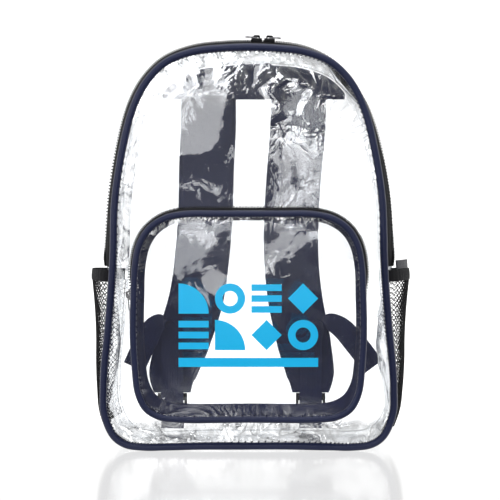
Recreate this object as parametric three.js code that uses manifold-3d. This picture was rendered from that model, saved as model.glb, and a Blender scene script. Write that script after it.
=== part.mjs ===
// A clear backpack that stands on a surface: vinyl panels and walls, bound seams, a zipped front pocket,
// net side pockets and padded straps. Millimetres, +Z up, the front faces -Y.
import * as THREE from 'three';
import { mergeVertices } from 'three/addons/utils/BufferGeometryUtils.js';
import Module from 'manifold-3d';

const wasm = await Module();
wasm.setup();

// Bag body
const bagWidth = 304;
const bagHeight = 415;
const bagDepth = 130;
const bagStations = 60;
const cornerStations = 7;
const rearShift = 5;
const vinylWall = 1.1;
const frontBulge = 8;
const bulgeStart = 24;
const rearBulge = 5;
const upperBillow = 13;
const lowerBillow = 6;
const baseSag = 10;
const zipEndSwell = 3;
const billowPower = 0.4;
const floorHeight = 0;

// Bound seams
const gap = 0.3;
const pipingRadius = 4;
const rearBindingRadius = 2.6;
const pipingSides = 8;
const smallPipingSides = 6;

// Front pocket
const pocketWidth = 229;
const pocketHeight = 204;
const pocketDepth = 38;
const pocketLift = 36.8;
const pocketStations = 48;
const pocketCornerStations = 6;
const pocketBulge = 5;
const pocketUpperBillow = 9;
const pocketLowerBillow = 4;
const pocketBillowPower = 0.7;
const pocketLeftInset = 7;
const pocketRightInset = 4;
const pocketTopInset = 5;
const pocketBottomInset = 11;
const pocketPipingRadius = 3.6;
const pocketZipEndHeight = 150;
const pocketSliderRise = 9;
const clothWall = 1.2;

// Zips
const zipEndHeight = 188;
const tapeWidth = 25;
const pocketTapeWidth = 20;
const tapeWall = 1;
const teethWidth = 5;
const teethHeight = 1.6;
const sliderLength = 11;
const sliderWall = 1.3;
const sliderClearance = 0.7;
const flangeWall = 1;
const bridgeWidth = 2;
const bridgeWall = 1;
const windowLength = 5;
const windowHeight = 2.2;
const pullWall = 1.2;
const pullWidth = 5.6;
const pullArm = 1;
const sliderSpacing = 13;
const sliderPairOffset = 14;
const mainPullLength = 12;
const pocketPullLength = 30;

// Net side pockets
const netWall = 1.2;
const netBillow = 17;
const netOffset = 3;
const netBottomHeight = 26;
const netTopHeight = 172;
const netRows = 8;
const hemHeight = 12;
const hemWall = 2;
const hemTabHeight = 9;

// Back: yoke, straps, webbing and haul loop
const yokeWall = 1.6;
const yokeDrop = 43;
const yokeBottomHeight = bagHeight - yokeDrop;
const strapWidth = 62;
const strapThickness = 10;
const strapStandOff = 32;
const webbingWidth = 25;
const webbingWall = 1.4;
const lockWidth = 33;
const lockHeight = 22;
const lockWall = 2.4;
const lockSlotHeight = 6;
const lockStandOff = 15;
const haulSpan = 17;
const haulRise = 30;
const haulStandOff = 17;
const haulWidth = 18;
const haulWall = 2;

// Half of the front seam, from the middle of the bottom to the middle of the top.
// Columns: height as a share of the bag's height, distance out as a share of half the seam's width.
const bagOutline = [
  [0.0125, 0],
  [0.0125, 0.3],
  [0.0106, 0.55],
  [0.0098, 0.72],
  [0.0165, 0.85],
  [0.038, 0.932],
  [0.092, 0.994],
  [0.15, 1],
  [0.212, 0.992],
  [0.272, 0.975],
  [0.334, 0.96],
  [0.394, 0.947],
  [0.444, 0.938],
  [0.493, 0.932],
  [0.615, 0.921],
  [0.738, 0.87],
  [0.838, 0.8],
  [0.905, 0.708],
  [0.955, 0.57],
  [0.981, 0.385],
  [0.9895, 0.196],
  [0.992, 0],
];

// Half of the pocket's seam. Columns: height share of the pocket, distance out as a share of half its width.
const pocketOutline = [
  [0, 0],
  [0, 0.6],
  [0.012, 0.77],
  [0.05, 0.885],
  [0.125, 0.955],
  [0.255, 0.985],
  [0.42, 1],
  [0.6, 0.995],
  [0.75, 0.982],
  [0.85, 0.945],
  [0.925, 0.865],
  [0.977, 0.73],
  [0.998, 0.56],
  [1, 0.3],
  [1, 0],
];

// Where the soft wall caves in. Columns: place round the seam, place from front to rear, reach round,
// reach across, and depth of the dent, all as shares (of the seam, of the wall and of the bag's depth).
const wallDents = [
  [0.41, 0.22, 0.035, 0.2, 0.2],
  [0.2, 0.5, 0.07, 0.3, 0.13],
  [0.8, 0.5, 0.06, 0.28, 0.08],
  [0.35, 0.66, 0.04, 0.2, 0.05],
  [0.65, 0.6, 0.045, 0.22, 0.05],
  [0.55, 0.68, 0.045, 0.2, 0.05],
];

// Soft dents of the front panel above the pocket. Columns: place across as a share of half the width, height
// share of the bag, reach across, reach up, and depth as a share of the panel's bulge.
const panelDents = [
  [-0.55, 0.84, 0.22, 0.05, 0.3],
  [0.5, 0.86, 0.25, 0.05, 0.35],
  [0.1, 0.74, 0.3, 0.05, 0.25],
];

// The padded straps. Columns: height share of the bag, distance out as a share of half the bag's width,
// stand-off share, width share, thickness share.
const rightStrap = [
  [0.905, 0.33, 0, 0.98, 0.5],
  [0.82, 0.325, 0.28, 1, 0.9],
  [0.72, 0.305, 0.68, 1, 1],
  [0.6, 0.285, 0.95, 1, 1],
  [0.48, 0.28, 1, 1, 1],
  [0.36, 0.31, 0.95, 1, 1],
  [0.24, 0.375, 0.76, 0.98, 1],
  [0.155, 0.42, 0.46, 0.86, 0.9],
  [0.108, 0.42, 0.38, 0.66, 0.45],
];
const leftStrap = [
  [0.905, 0.33, 0, 0.98, 0.5],
  [0.82, 0.335, 0.28, 1, 0.9],
  [0.72, 0.35, 0.68, 1, 1],
  [0.6, 0.36, 0.95, 1, 1],
  [0.48, 0.385, 1, 1, 1],
  [0.36, 0.43, 0.95, 1, 1],
  [0.24, 0.53, 0.76, 0.98, 1],
  [0.155, 0.6, 0.46, 0.86, 0.9],
  [0.108, 0.6, 0.38, 0.66, 0.45],
];

// The lower webbing from the rear seam over its peak to the lock. Columns: share of the way from the lock to
// the seam, rise above the lock as a share of the bag's height, stand-off share, and the direction of the
// webbing's width as x (outwards), y and z.
const webbingRoute = [
  [1, 0.1, 0.04, 0.7, 0, 0.75],
  [0.74, 0.158, 0.36, 0.6, 0.1, 0.8],
  [0.46, 0.208, 0.78, 0.6, 0.4, 0.6],
  [0.2, 0.222, 0.9, 0.4, 0.6, 0.2],
  [0.03, 0.18, 0.85, 0.9, 0.4, 0],
  [0, 0.11, 0.6, 1, 0.1, 0],
];

// Colours of the materials
const clearVinyl = { color: 0xf4f6f8, roughness: 0.15, metalness: 0, transparent: true, opacity: 0.3 };
const navyCloth = { color: 0x1f2143, roughness: 0.75, metalness: 0 };
const navyBinding = { color: 0x25284e, roughness: 0.5, metalness: 0 };
const blackTape = { color: 0x17171a, roughness: 0.8, metalness: 0 };
const blackNet = { color: 0x1d1d1f, roughness: 0.85, metalness: 0 };
const greyTab = { color: 0x4a4b4e, roughness: 0.6, metalness: 0 };
const blackPlastic = { color: 0x141416, roughness: 0.45, metalness: 0 };
const silverMetal = { color: 0xc9cace, roughness: 0.25, metalness: 1 };

const bag = new THREE.Group();

function addPiece(parent, name, geometry, look) {
  const mesh = new THREE.Mesh(geometry, new THREE.MeshStandardMaterial(look));
  mesh.name = name;
  parent.add(mesh);
  return mesh;
}

function vector(x, y, z) {
  return new THREE.Vector3(x, y, z);
}

function bump(distance) {
  return Math.exp(-distance * distance);
}

function signedVolume(positions, triangles) {
  let volume = 0;
  for (let t = 0; t < triangles.length; t += 3) {
    const [a, b, c] = [0, 1, 2].map((n) => new THREE.Vector3().fromArray(positions, 3 * triangles[t + n]));
    volume += a.dot(b.cross(c)) / 6;
  }
  return volume;
}

// A closed solid through sections. Each row has as many points on top as under, in the same order.
function solidFromRows(rows, closed = false) {
  const across = rows[0].top.length;
  const positions = [];
  for (const row of rows) {
    for (const point of [...row.top, ...row.under]) {
      positions.push(point.x, point.y, point.z);
    }
  }
  const top = (k, i) => (k % rows.length) * 2 * across + i;
  const under = (k, i) => top(k, i) + across;
  const triangles = [];
  const quad = (a, b, c, d) => triangles.push(a, b, c, a, c, d);
  const last = across - 1;
  const spans = closed ? rows.length : rows.length - 1;
  for (let k = 0; k < spans; k += 1) {
    for (let i = 0; i < last; i += 1) {
      quad(top(k, i), top(k, i + 1), top(k + 1, i + 1), top(k + 1, i));
      quad(under(k, i), under(k + 1, i), under(k + 1, i + 1), under(k, i + 1));
    }
    quad(top(k, 0), top(k + 1, 0), under(k + 1, 0), under(k, 0));
    quad(top(k, last), under(k, last), under(k + 1, last), top(k + 1, last));
  }
  if (!closed) {
    const end = rows.length - 1;
    for (let i = 0; i < last; i += 1) {
      quad(top(0, i), under(0, i), under(0, i + 1), top(0, i + 1));
      quad(top(end, i), top(end, i + 1), under(end, i + 1), under(end, i));
    }
  }
  if (signedVolume(positions, triangles) < 0) {
    triangles.reverse();
  }
  const geometry = new THREE.BufferGeometry();
  geometry.setAttribute('position', new THREE.Float32BufferAttribute(positions, 3));
  geometry.setIndex(triangles);
  geometry.computeVertexNormals();
  return geometry;
}

// Moves an open band's first and last rows inwards, so that its ends clear what they meet.
function withEndsPulledIn(rows, distance) {
  const pull = (row, neighbour) => {
    const step = distance / row.top[0].distanceTo(neighbour.top[0]);
    row.top.forEach((point, i) => point.lerp(neighbour.top[i], step));
    row.under.forEach((point, i) => point.lerp(neighbour.under[i], step));
  };
  pull(rows[0], rows[1]);
  pull(rows[rows.length - 1], rows[rows.length - 2]);
  return rows;
}

// A seam as stations, each with a point and the direction out of the seam's plane figure. They lie closest
// where the outline turns most. The first is the middle of the bottom, and they run to the right, over the
// top and down the left.
function seamFromOutline(outline, halfWidth, height, count, lift) {
  const right = outline.map(([up, out]) => vector(out * halfWidth, 0, lift + up * height));
  const left = right.slice(1, -1).reverse().map((point) => vector(-point.x, 0, point.z));
  const curve = new THREE.CatmullRomCurve3([...right, ...left], true, 'centripetal');
  return withNormals(curve.getPoints(count).slice(0, count));
}

function withNormals(points) {
  return points.map((point, i) => {
    const before = points[(i + points.length - 1) % points.length];
    const after = points[(i + 1) % points.length];
    const along = vector(after.x - before.x, 0, after.z - before.z).normalize();
    return { point, out: vector(along.z, 0, -along.x) };
  });
}

function movedSeam(seam, move) {
  return withNormals(seam.map(({ point }) => move(point.clone())));
}

// The bag's seams

const frontSeam = seamFromOutline(bagOutline, bagWidth / 2 - pipingRadius, bagHeight, bagStations, 0);
const rearSeam = movedSeam(frontSeam, (point) => point.add(vector(rearShift, bagDepth, 0)));

function panelBulge(x, z) {
  const above = pocketLift + pocketHeight + bulgeStart;
  const rise = THREE.MathUtils.clamp((z - above) / (bagHeight - above), 0, 1);
  const acrossShare = x / (bagWidth / 2);
  let bulge = frontBulge * Math.sin(Math.PI * rise) * Math.max(0, 1 - acrossShare ** 2);
  for (const [across, up, reachAcross, reachUp, depth] of panelDents) {
    const near = bump((acrossShare - across) / reachAcross) * bump((z / bagHeight - up) / reachUp);
    bulge -= depth * frontBulge * near * Math.sin(Math.PI * rise);
  }
  return bulge;
}

function frontFace(x, z) {
  return -vinylWall / 2 - panelBulge(x, z);
}

function rearFace(x, z) {
  const acrossShare = (x - rearShift) / (bagWidth / 2);
  const rise = THREE.MathUtils.clamp(z / bagHeight, 0, 1);
  const bulge = rearBulge * Math.sin(Math.PI * rise) * Math.max(0, 1 - acrossShare ** 2);
  return bagDepth + vinylWall / 2 + bulge;
}

// A panel that fills a seam: a grid whose four sides are four stretches of the seam, drawn in by an inset.
function panelRows(seam, corner, inset, faceAt, wall) {
  const count = seam.length;
  const half = count / 2;
  const edge = (i) => {
    const { point, out } = seam[(i + count) % count];
    return point.clone().addScaledVector(out, -inset);
  };
  const acrossSteps = 2 * corner;
  const upSteps = half - 2 * corner;
  const bottom = (i) => edge(i - corner);
  const top = (i) => edge(half + corner - i);
  const right = (k) => edge(corner + k);
  const left = (k) => edge(-corner - k);
  const rows = [];
  for (let k = 0; k <= upSteps; k += 1) {
    const v = k / upSteps;
    const row = { top: [], under: [] };
    for (let i = 0; i <= acrossSteps; i += 1) {
      const u = i / acrossSteps;
      const point = bottom(i).multiplyScalar(1 - v).addScaledVector(top(i), v);
      point.addScaledVector(left(k), 1 - u).addScaledVector(right(k), u);
      point.addScaledVector(bottom(0), -(1 - u) * (1 - v)).addScaledVector(bottom(acrossSteps), -u * (1 - v));
      point.addScaledVector(top(0), -(1 - u) * v).addScaledVector(top(acrossSteps), -u * v);
      const y = faceAt(point.x, point.z);
      row.top.push(vector(point.x, y, point.z));
      row.under.push(vector(point.x, y + wall, point.z));
    }
    rows.push(row);
  }
  return rows;
}

// A round binding along a whole seam.
function pipingGeometry(seam, radius, sides) {
  const half = sides / 2;
  const ring = (sign) => Array.from({ length: half }, (_, i) => {
    const angle = Math.PI * (1 - (i + 0.5) / half);
    return [radius * Math.cos(angle), sign * radius * Math.sin(angle)];
  });
  const place = ({ point, out }, pairs) => pairs.map(([a, b]) => {
    return point.clone().addScaledVector(out, a).add(vector(0, b, 0));
  });
  const rows = seam.map((station) => ({ top: place(station, ring(-1)), under: place(station, ring(1)) }));
  return solidFromRows(rows, true);
}

// A soft wall between two seams. Its points and directions are given at whole stations and between them, and
// stationsIn gives how many stations a length covers just after a place.
function makeWall(front, rear, startGap, endGap, bulgeAt) {
  const depth = rear[0].point.y - front[0].point.y - startGap - endGap;
  const pointAtWhole = (i, share, plain) => {
    const n = (i + front.length) % front.length;
    const from = front[n];
    const to = rear[n];
    const point = from.point.clone().lerp(to.point, share);
    point.y = THREE.MathUtils.lerp(from.point.y + startGap, to.point.y - endGap, share);
    point.addScaledVector(from.out, bulgeAt(n / front.length, share, from.point.z, plain));
    point.z = Math.max(point.z, floorHeight);
    return point;
  };
  const pointAt = (i, share, plain = false) => {
    const low = Math.floor(i);
    return pointAtWhole(low, share, plain).lerp(pointAtWhole(low + 1, share, plain), i - low);
  };
  const outAt = (i) => {
    const low = Math.floor(i);
    const at = (n) => front[(n + front.length) % front.length].out;
    return at(low).clone().lerp(at(low + 1), i - low).normalize();
  };
  const stationsIn = (length, i) => length / pointAt(i, 0).distanceTo(pointAt(i + 0.5, 0)) / 2;
  return { depth, pointAt, outAt, stationsIn };
}

// The stations from first to last: both ends and the whole ones between, apart from any close to an end.
function stretch(first, last) {
  const nearest = 0.2;
  const stations = [first];
  for (let i = Math.floor(first) + 1; i < last - nearest; i += 1) {
    if (i - first > nearest) {
      stations.push(i);
    }
  }
  return [...stations, last];
}

function wallRows(wall, stations, shares, thickness) {
  return stations.map((i) => {
    const top = shares.map((share) => wall.pointAt(i, share));
    return { top, under: top.map((point) => point.clone().addScaledVector(wall.outAt(i), -thickness)) };
  });
}

// The station on the right side of a seam where it passes a height on its way up.
function stationAtHeight(seam, height) {
  let i = 0;
  while (i < seam.length / 2 - 1 && seam[i + 1].point.z < height) {
    i += 1;
  }
  const [below, above] = [seam[i].point.z, seam[i + 1].point.z];
  return i + (height - below) / (above - below);
}

function evenShares(from, to, steps) {
  return Array.from({ length: steps + 1 }, (_, i) => THREE.MathUtils.lerp(from, to, i / steps));
}

// A zip along a wall: its tape next to the front seam, and the closed teeth along the tape's middle.
function zipShares(wall, width) {
  const end = width / wall.depth;
  const half = teethWidth / 2 / wall.depth;
  return { low: end / 2 - half, high: end / 2 + half, end };
}

function addZip(wall, first, last, width, name) {
  const { low, high, end } = zipShares(wall, width);
  const tape = wallRows(wall, stretch(first, last), [0, low, high, end], tapeWall);
  addPiece(bag, `${name}_zip_tape`, solidFromRows(withEndsPulledIn(tape, gap / 2)), blackTape);
  const inset = wall.stationsIn(teethWidth, first);
  const stations = stretch(first + inset, last - inset);
  const teeth = wallRows(wall, stations, [low, high], 0).map((row, k) => {
    const out = wall.outAt(stations[k]);
    const lift = (distance) => row.top.map((point) => point.clone().addScaledVector(out, distance));
    return { top: lift(gap + teethHeight), under: lift(gap) };
  });
  addPiece(bag, `${name}_zip_teeth`, solidFromRows(teeth), blackPlastic);
}

// Main wall, zip and panels

function mainBulge(around, share, height, plain) {
  const rise = THREE.MathUtils.smoothstep(height, zipEndHeight - bagHeight / 24, zipEndHeight + bagHeight / 40);
  const sag = baseSag * (1 - THREE.MathUtils.smoothstep(height, 0.02 * bagHeight, 0.06 * bagHeight));
  const swell = zipEndSwell * bump((height - zipEndHeight) / (bagHeight / 10));
  const billow = Math.max(sag, THREE.MathUtils.lerp(lowerBillow, upperBillow, rise)) + swell;
  let bulge = billow * Math.max(0, Math.sin(Math.PI * share)) ** billowPower;
  if (plain) {
    return bulge;
  }
  for (const [place, across, reachRound, reachAcross, depth] of wallDents) {
    const near = bump((around - place) / reachRound) * bump((share - across) / reachAcross);
    bulge -= depth * bagDepth * near * Math.sin(Math.PI * share);
  }
  return bulge;
}

const mainWall = makeWall(frontSeam, rearSeam, pipingRadius + gap, rearBindingRadius + gap, mainBulge);
const zipFirst = stationAtHeight(frontSeam, zipEndHeight);
const zipLast = bagStations - zipFirst;

function addBagBody() {
  const panelInset = pipingRadius + gap;
  const front = panelRows(frontSeam, cornerStations, panelInset, frontFace, vinylWall);
  addPiece(bag, 'front_panel', solidFromRows(front), clearVinyl);
  const backFace = (x, z) => rearFace(x, z) - vinylWall;
  const back = panelRows(rearSeam, cornerStations, rearBindingRadius + gap, backFace, vinylWall);
  addPiece(bag, 'back_panel', solidFromRows(back), clearVinyl);
  addPiece(bag, 'front_piping', pipingGeometry(frontSeam, pipingRadius, pipingSides), navyBinding);
  addPiece(bag, 'rear_binding', pipingGeometry(rearSeam, rearBindingRadius, smallPipingSides), clearVinyl);

  addZip(mainWall, zipFirst, zipLast, tapeWidth, 'main');
  const tapeEnd = zipShares(mainWall, tapeWidth).end + gap / mainWall.depth;
  const upper = wallRows(mainWall, stretch(zipFirst, zipLast), evenShares(tapeEnd, 1, 5), vinylWall);
  addPiece(bag, 'upper_wall', solidFromRows(withEndsPulledIn(upper, gap / 2)), clearVinyl);
  const below = stretch(zipLast, zipFirst + bagStations);
  const lower = wallRows(mainWall, below, evenShares(0, 1, 6), vinylWall);
  addPiece(bag, 'lower_wall', solidFromRows(withEndsPulledIn(lower, gap / 2)), clearVinyl);
}

// Front pocket

const pocketFrontSeam = movedSeam(
  seamFromOutline(pocketOutline, pocketWidth / 2, pocketHeight, pocketStations, pocketLift),
  (point) => point.add(vector(0, -pocketDepth, 0)),
);
const pocketBaseSeam = movedSeam(pocketFrontSeam, (point) => {
  const x = point.x * (1 - (pocketLeftInset + pocketRightInset) / pocketWidth);
  const up = (point.z - pocketLift) * (1 - (pocketTopInset + pocketBottomInset) / pocketHeight);
  const shift = (pocketLeftInset - pocketRightInset) / 2;
  const shifted = vector(x + shift, 0, pocketLift + pocketBottomInset + up);
  shifted.y = frontFace(shifted.x, shifted.z) - gap;
  return shifted;
});

function pocketWallBulge(around, share, height) {
  const rise = THREE.MathUtils.smoothstep(height, pocketZipEndHeight, pocketZipEndHeight + pocketHeight / 6);
  const billow = THREE.MathUtils.lerp(pocketLowerBillow, pocketUpperBillow, rise);
  return billow * Math.max(0, Math.sin(Math.PI * share)) ** pocketBillowPower;
}

const pocketWall = makeWall(pocketFrontSeam, pocketBaseSeam, pocketPipingRadius + gap, 0, pocketWallBulge);
const pocketZipFirst = stationAtHeight(pocketFrontSeam, pocketZipEndHeight);
const pocketZipLast = pocketStations - pocketZipFirst;

function pocketFace(x, z) {
  const acrossShare = Math.min(1, Math.abs(x) / (pocketWidth / 2));
  const upShare = THREE.MathUtils.clamp((z - pocketLift) / pocketHeight, 0, 1);
  return -pocketDepth - vinylWall / 2 - pocketBulge * (1 - acrossShare ** 2) * Math.sin(Math.PI * upShare);
}

function addPocket() {
  const inset = pocketPipingRadius + gap;
  const panel = panelRows(pocketFrontSeam, pocketCornerStations, inset, pocketFace, vinylWall);
  addPiece(bag, 'pocket_panel', solidFromRows(panel), clearVinyl);
  const piping = pipingGeometry(pocketFrontSeam, pocketPipingRadius, smallPipingSides);
  addPiece(bag, 'pocket_piping', piping, navyBinding);
  addZip(pocketWall, pocketZipFirst, pocketZipLast, pocketTapeWidth, 'pocket');
  const tapeEnd = zipShares(pocketWall, pocketTapeWidth).end + gap / pocketWall.depth;
  const above = stretch(pocketZipFirst, pocketZipLast);
  const upper = wallRows(pocketWall, above, evenShares(tapeEnd, 1, 2), clothWall);
  addPiece(bag, 'pocket_upper_wall', solidFromRows(withEndsPulledIn(upper, gap / 2)), navyCloth);
  const below = stretch(pocketZipLast, pocketZipFirst + pocketStations);
  const lower = wallRows(pocketWall, below, evenShares(0, 1, 3), clothWall);
  addPiece(bag, 'pocket_lower_wall', solidFromRows(withEndsPulledIn(lower, gap / 2)), navyCloth);
}

// Sliders and pulls. In a slider's own frame X runs along the zip, Y across it and Z away from it, with the
// pull's axis through the origin.

function toManifold(geometry) {
  const plain = geometry.clone();
  plain.deleteAttribute('normal');
  plain.deleteAttribute('uv');
  const merged = mergeVertices(plain, 1e-4);
  const vertProperties = new Float32Array(merged.attributes.position.array);
  const triVerts = new Uint32Array(merged.index.array);
  return new wasm.Manifold(new wasm.Mesh({ numProp: 3, vertProperties, triVerts }));
}

function fromManifold(solid) {
  const mesh = solid.getMesh();
  const geometry = new THREE.BufferGeometry();
  geometry.setAttribute('position', new THREE.Float32BufferAttribute(mesh.vertProperties, mesh.numProp));
  geometry.setIndex([...mesh.triVerts]);
  geometry.computeVertexNormals();
  return geometry;
}

const windowBottom = -windowHeight / 2;
const sliderHeight = gap + teethHeight + sliderClearance + sliderWall - windowBottom;

function sliderGeometry() {
  const inner = teethWidth / 2 + sliderClearance;
  const outer = inner + flangeWall;
  const plateBottom = windowBottom - sliderWall;
  const flangeBottom = -sliderHeight + sliderClearance;
  const channel = new THREE.Shape();
  channel.moveTo(-outer, flangeBottom);
  channel.lineTo(-inner, flangeBottom);
  channel.lineTo(-inner, plateBottom);
  channel.lineTo(inner, plateBottom);
  channel.lineTo(inner, flangeBottom);
  channel.lineTo(outer, flangeBottom);
  channel.lineTo(outer, windowBottom);
  channel.lineTo(-outer, windowBottom);
  channel.closePath();
  const body = new THREE.ExtrudeGeometry(channel, { depth: sliderLength, bevelEnabled: false });
  body.translate(0, 0, -sliderLength / 2);
  body.rotateX(Math.PI / 2);
  body.rotateZ(Math.PI / 2);

  const half = windowLength / 2;
  const rim = half + bridgeWall;
  const sunk = windowBottom - sliderWall / 2;
  const crown = windowHeight / 2 + bridgeWall;
  const arch = new THREE.Shape();
  arch.moveTo(-rim, sunk);
  arch.lineTo(-half, sunk);
  arch.lineTo(-half, windowHeight / 2);
  arch.lineTo(half, windowHeight / 2);
  arch.lineTo(half, sunk);
  arch.lineTo(rim, sunk);
  arch.lineTo(rim, windowHeight / 2);
  arch.lineTo(half, crown);
  arch.lineTo(-half, crown);
  arch.lineTo(-rim, windowHeight / 2);
  arch.closePath();
  const bridge = new THREE.ExtrudeGeometry(arch, { depth: bridgeWidth, bevelEnabled: false });
  bridge.translate(0, 0, -bridgeWidth / 2);
  bridge.rotateX(Math.PI / 2);
  return fromManifold(toManifold(body).add(toManifold(bridge)));
}

// A flat pull with a hole round the bridge at one end and a ring at the other, along -X from its axis.
function pullGeometry(length) {
  const half = pullWidth / 2;
  const bar = pullWall / 2;
  const reach = Math.hypot(windowLength / 2 + bridgeWall, windowHeight / 2 + bridgeWall) + gap;
  const slotHalf = bridgeWidth / 2 + gap + 0.1;
  const ringCentre = length - half;
  const outline = new THREE.Shape();
  outline.moveTo(bar, -half);
  outline.lineTo(bar, half);
  outline.lineTo(-reach - pullArm, half);
  outline.lineTo(-(reach + ringCentre) / 2, half / 2);
  outline.lineTo(-ringCentre, half);
  outline.absarc(-ringCentre, 0, half, Math.PI / 2, 1.5 * Math.PI, false);
  outline.lineTo(-(reach + ringCentre) / 2, -half / 2);
  outline.lineTo(-reach - pullArm, -half);
  outline.closePath();
  const slot = new THREE.Path();
  slot.moveTo(-bar, -slotHalf);
  slot.lineTo(-reach, -slotHalf);
  slot.lineTo(-reach, slotHalf);
  slot.lineTo(-bar, slotHalf);
  slot.closePath();
  outline.holes.push(slot);
  const eye = new THREE.Path();
  eye.absarc(-ringCentre, 0, half - pullArm, 0, 2 * Math.PI, false);
  outline.holes.push(eye);
  const options = { depth: pullWall, bevelEnabled: false, curveSegments: 6 };
  const geometry = new THREE.ExtrudeGeometry(outline, options);
  geometry.translate(0, 0, -pullWall / 2);
  return geometry;
}

// Seats a slider and its pull on a zip. The pull lies towards falling station numbers where forward is 1, and
// towards rising ones where it is -1.
function placeSlider(name, wall, width, station, forward, pullLength) {
  const { low, high } = zipShares(wall, width);
  const middle = (i) => wall.pointAt(i, low).lerp(wall.pointAt(i, high), 0.5);
  const halfLength = wall.stationsIn(sliderLength / 2, station);
  const along = middle(station + halfLength).sub(middle(station - halfLength)).normalize();
  along.multiplyScalar(forward);
  const away = along.clone().cross(wall.pointAt(station, high).sub(wall.pointAt(station, low))).normalize();
  if (away.dot(wall.outAt(station)) < 0) {
    away.negate();
  }
  const slider = new THREE.Group();
  slider.setRotationFromMatrix(new THREE.Matrix4().makeBasis(along, away.clone().cross(along), away));
  slider.position.copy(middle(station)).addScaledVector(away, sliderHeight);
  bag.add(slider);
  addPiece(slider, `${name}_slider`, sliderGeometry(), silverMetal);
  addPiece(slider, `${name}_pull`, pullGeometry(pullLength), silverMetal);
}

function stationAt(seam, x) {
  const half = seam.length / 2;
  const spacing = seam[half - 1].point.x - seam[half].point.x;
  return half - x / spacing;
}

function addSliders() {
  const rightOne = stationAt(frontSeam, sliderPairOffset + sliderSpacing / 2);
  const leftOne = stationAt(frontSeam, sliderPairOffset - sliderSpacing / 2);
  placeSlider('main_left', mainWall, tapeWidth, leftOne, -1, mainPullLength);
  placeSlider('main_right', mainWall, tapeWidth, rightOne, 1, mainPullLength);
  const pocketStation = pocketZipLast - pocketWall.stationsIn(pocketSliderRise, pocketZipLast - 1);
  placeSlider('pocket', pocketWall, pocketTapeWidth, pocketStation, -1, pocketPullLength);
}

// Net side pockets

const netShares = [0, 0.06, 0.18, 0.34, 0.5, 0.66, 0.82, 0.94, 1];

function netPoint(station, share, rise) {
  const point = mainWall.pointAt(station, share, true);
  const swell = netBillow * rise * Math.max(0, Math.sin(Math.PI * share)) ** 0.6;
  return point.addScaledVector(mainWall.outAt(station), netOffset + swell);
}

function addSidePocket(side, name) {
  const stations = evenShares(netBottomHeight, netTopHeight, netRows - 1).map((height) => {
    const station = stationAtHeight(frontSeam, height);
    return side > 0 ? station : bagStations - station;
  });
  const riseOf = (k) => k / (stations.length - 1);
  const rows = stations.map((station, k) => {
    const out = mainWall.outAt(station);
    const top = netShares.map((share) => netPoint(station, share, riseOf(k)));
    return { top, under: top.map((point) => point.clone().addScaledVector(out, -netWall)) };
  });
  addPiece(bag, `side_net_${name}`, solidFromRows(rows), blackNet);

  const last = stations[stations.length - 1];
  const out = mainWall.outAt(last);
  const up = vector(-side * out.z, 0, side * out.x);
  const bandRow = (share, from, to, outer, thickness) => {
    const edge = (distance, depth) => {
      const point = netPoint(last, share, 1).addScaledVector(out, outer - depth);
      return point.addScaledVector(up, distance);
    };
    return { top: [edge(from, 0), edge(to, 0)], under: [edge(from, thickness), edge(to, thickness)] };
  };
  const proud = (hemWall - netWall) / 2;
  const hem = netShares.map((share) => bandRow(share, gap, gap + hemHeight, proud, hemWall));
  addPiece(bag, `side_hem_${name}`, solidFromRows(hem), blackTape);
  if (side > 0) {
    const from = hemHeight + 2 * gap;
    const tab = netShares.slice(1, 4).map((share) => bandRow(share, from, from + hemTabHeight, 0, netWall));
    addPiece(bag, 'hem_tab', solidFromRows(tab), greyTab);
  }
}

// Back: yoke, straps, locks, webbing and haul loop

function seamHeightAt(x) {
  const upper = rearSeam.filter(({ point }) => point.z > bagHeight / 2).map(({ point }) => point);
  for (let i = 1; i < upper.length; i += 1) {
    const [right, left] = [upper[i - 1], upper[i]];
    if (x <= right.x && x >= left.x) {
      return THREE.MathUtils.mapLinear(x, left.x, right.x, left.z, right.z);
    }
  }
  return yokeBottomHeight;
}

function seamHalfWidthAt(z) {
  const right = rearSeam.slice(0, bagStations / 2).map(({ point }) => point);
  for (let i = 1; i < right.length; i += 1) {
    if (z >= right[i - 1].z && z <= right[i].z && right[i].z > bagHeight / 2) {
      return THREE.MathUtils.mapLinear(z, right[i - 1].z, right[i].z, right[i - 1].x, right[i].x) - rearShift;
    }
  }
  return bagWidth / 2;
}

function addYoke() {
  const inset = rearBindingRadius + gap;
  const half = seamHalfWidthAt(yokeBottomHeight) - 2 * inset;
  const rows = evenShares(-half, half, 14).map((across) => {
    const x = rearShift + across;
    const edge = Math.max(seamHeightAt(x) - 1.6 * inset, yokeBottomHeight + inset);
    const heights = evenShares(yokeBottomHeight, edge, 4);
    const place = (z, depth) => vector(x, rearFace(x, z) + gap + depth, z);
    return { top: heights.map((z) => place(z, yokeWall)), under: heights.map((z) => place(z, 0)) };
  });
  addPiece(bag, 'yoke', solidFromRows(rows), navyCloth);
}

const strapSeat = yokeWall + 2 * gap + (rightStrap[0][4] * strapThickness) / 2;

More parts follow.
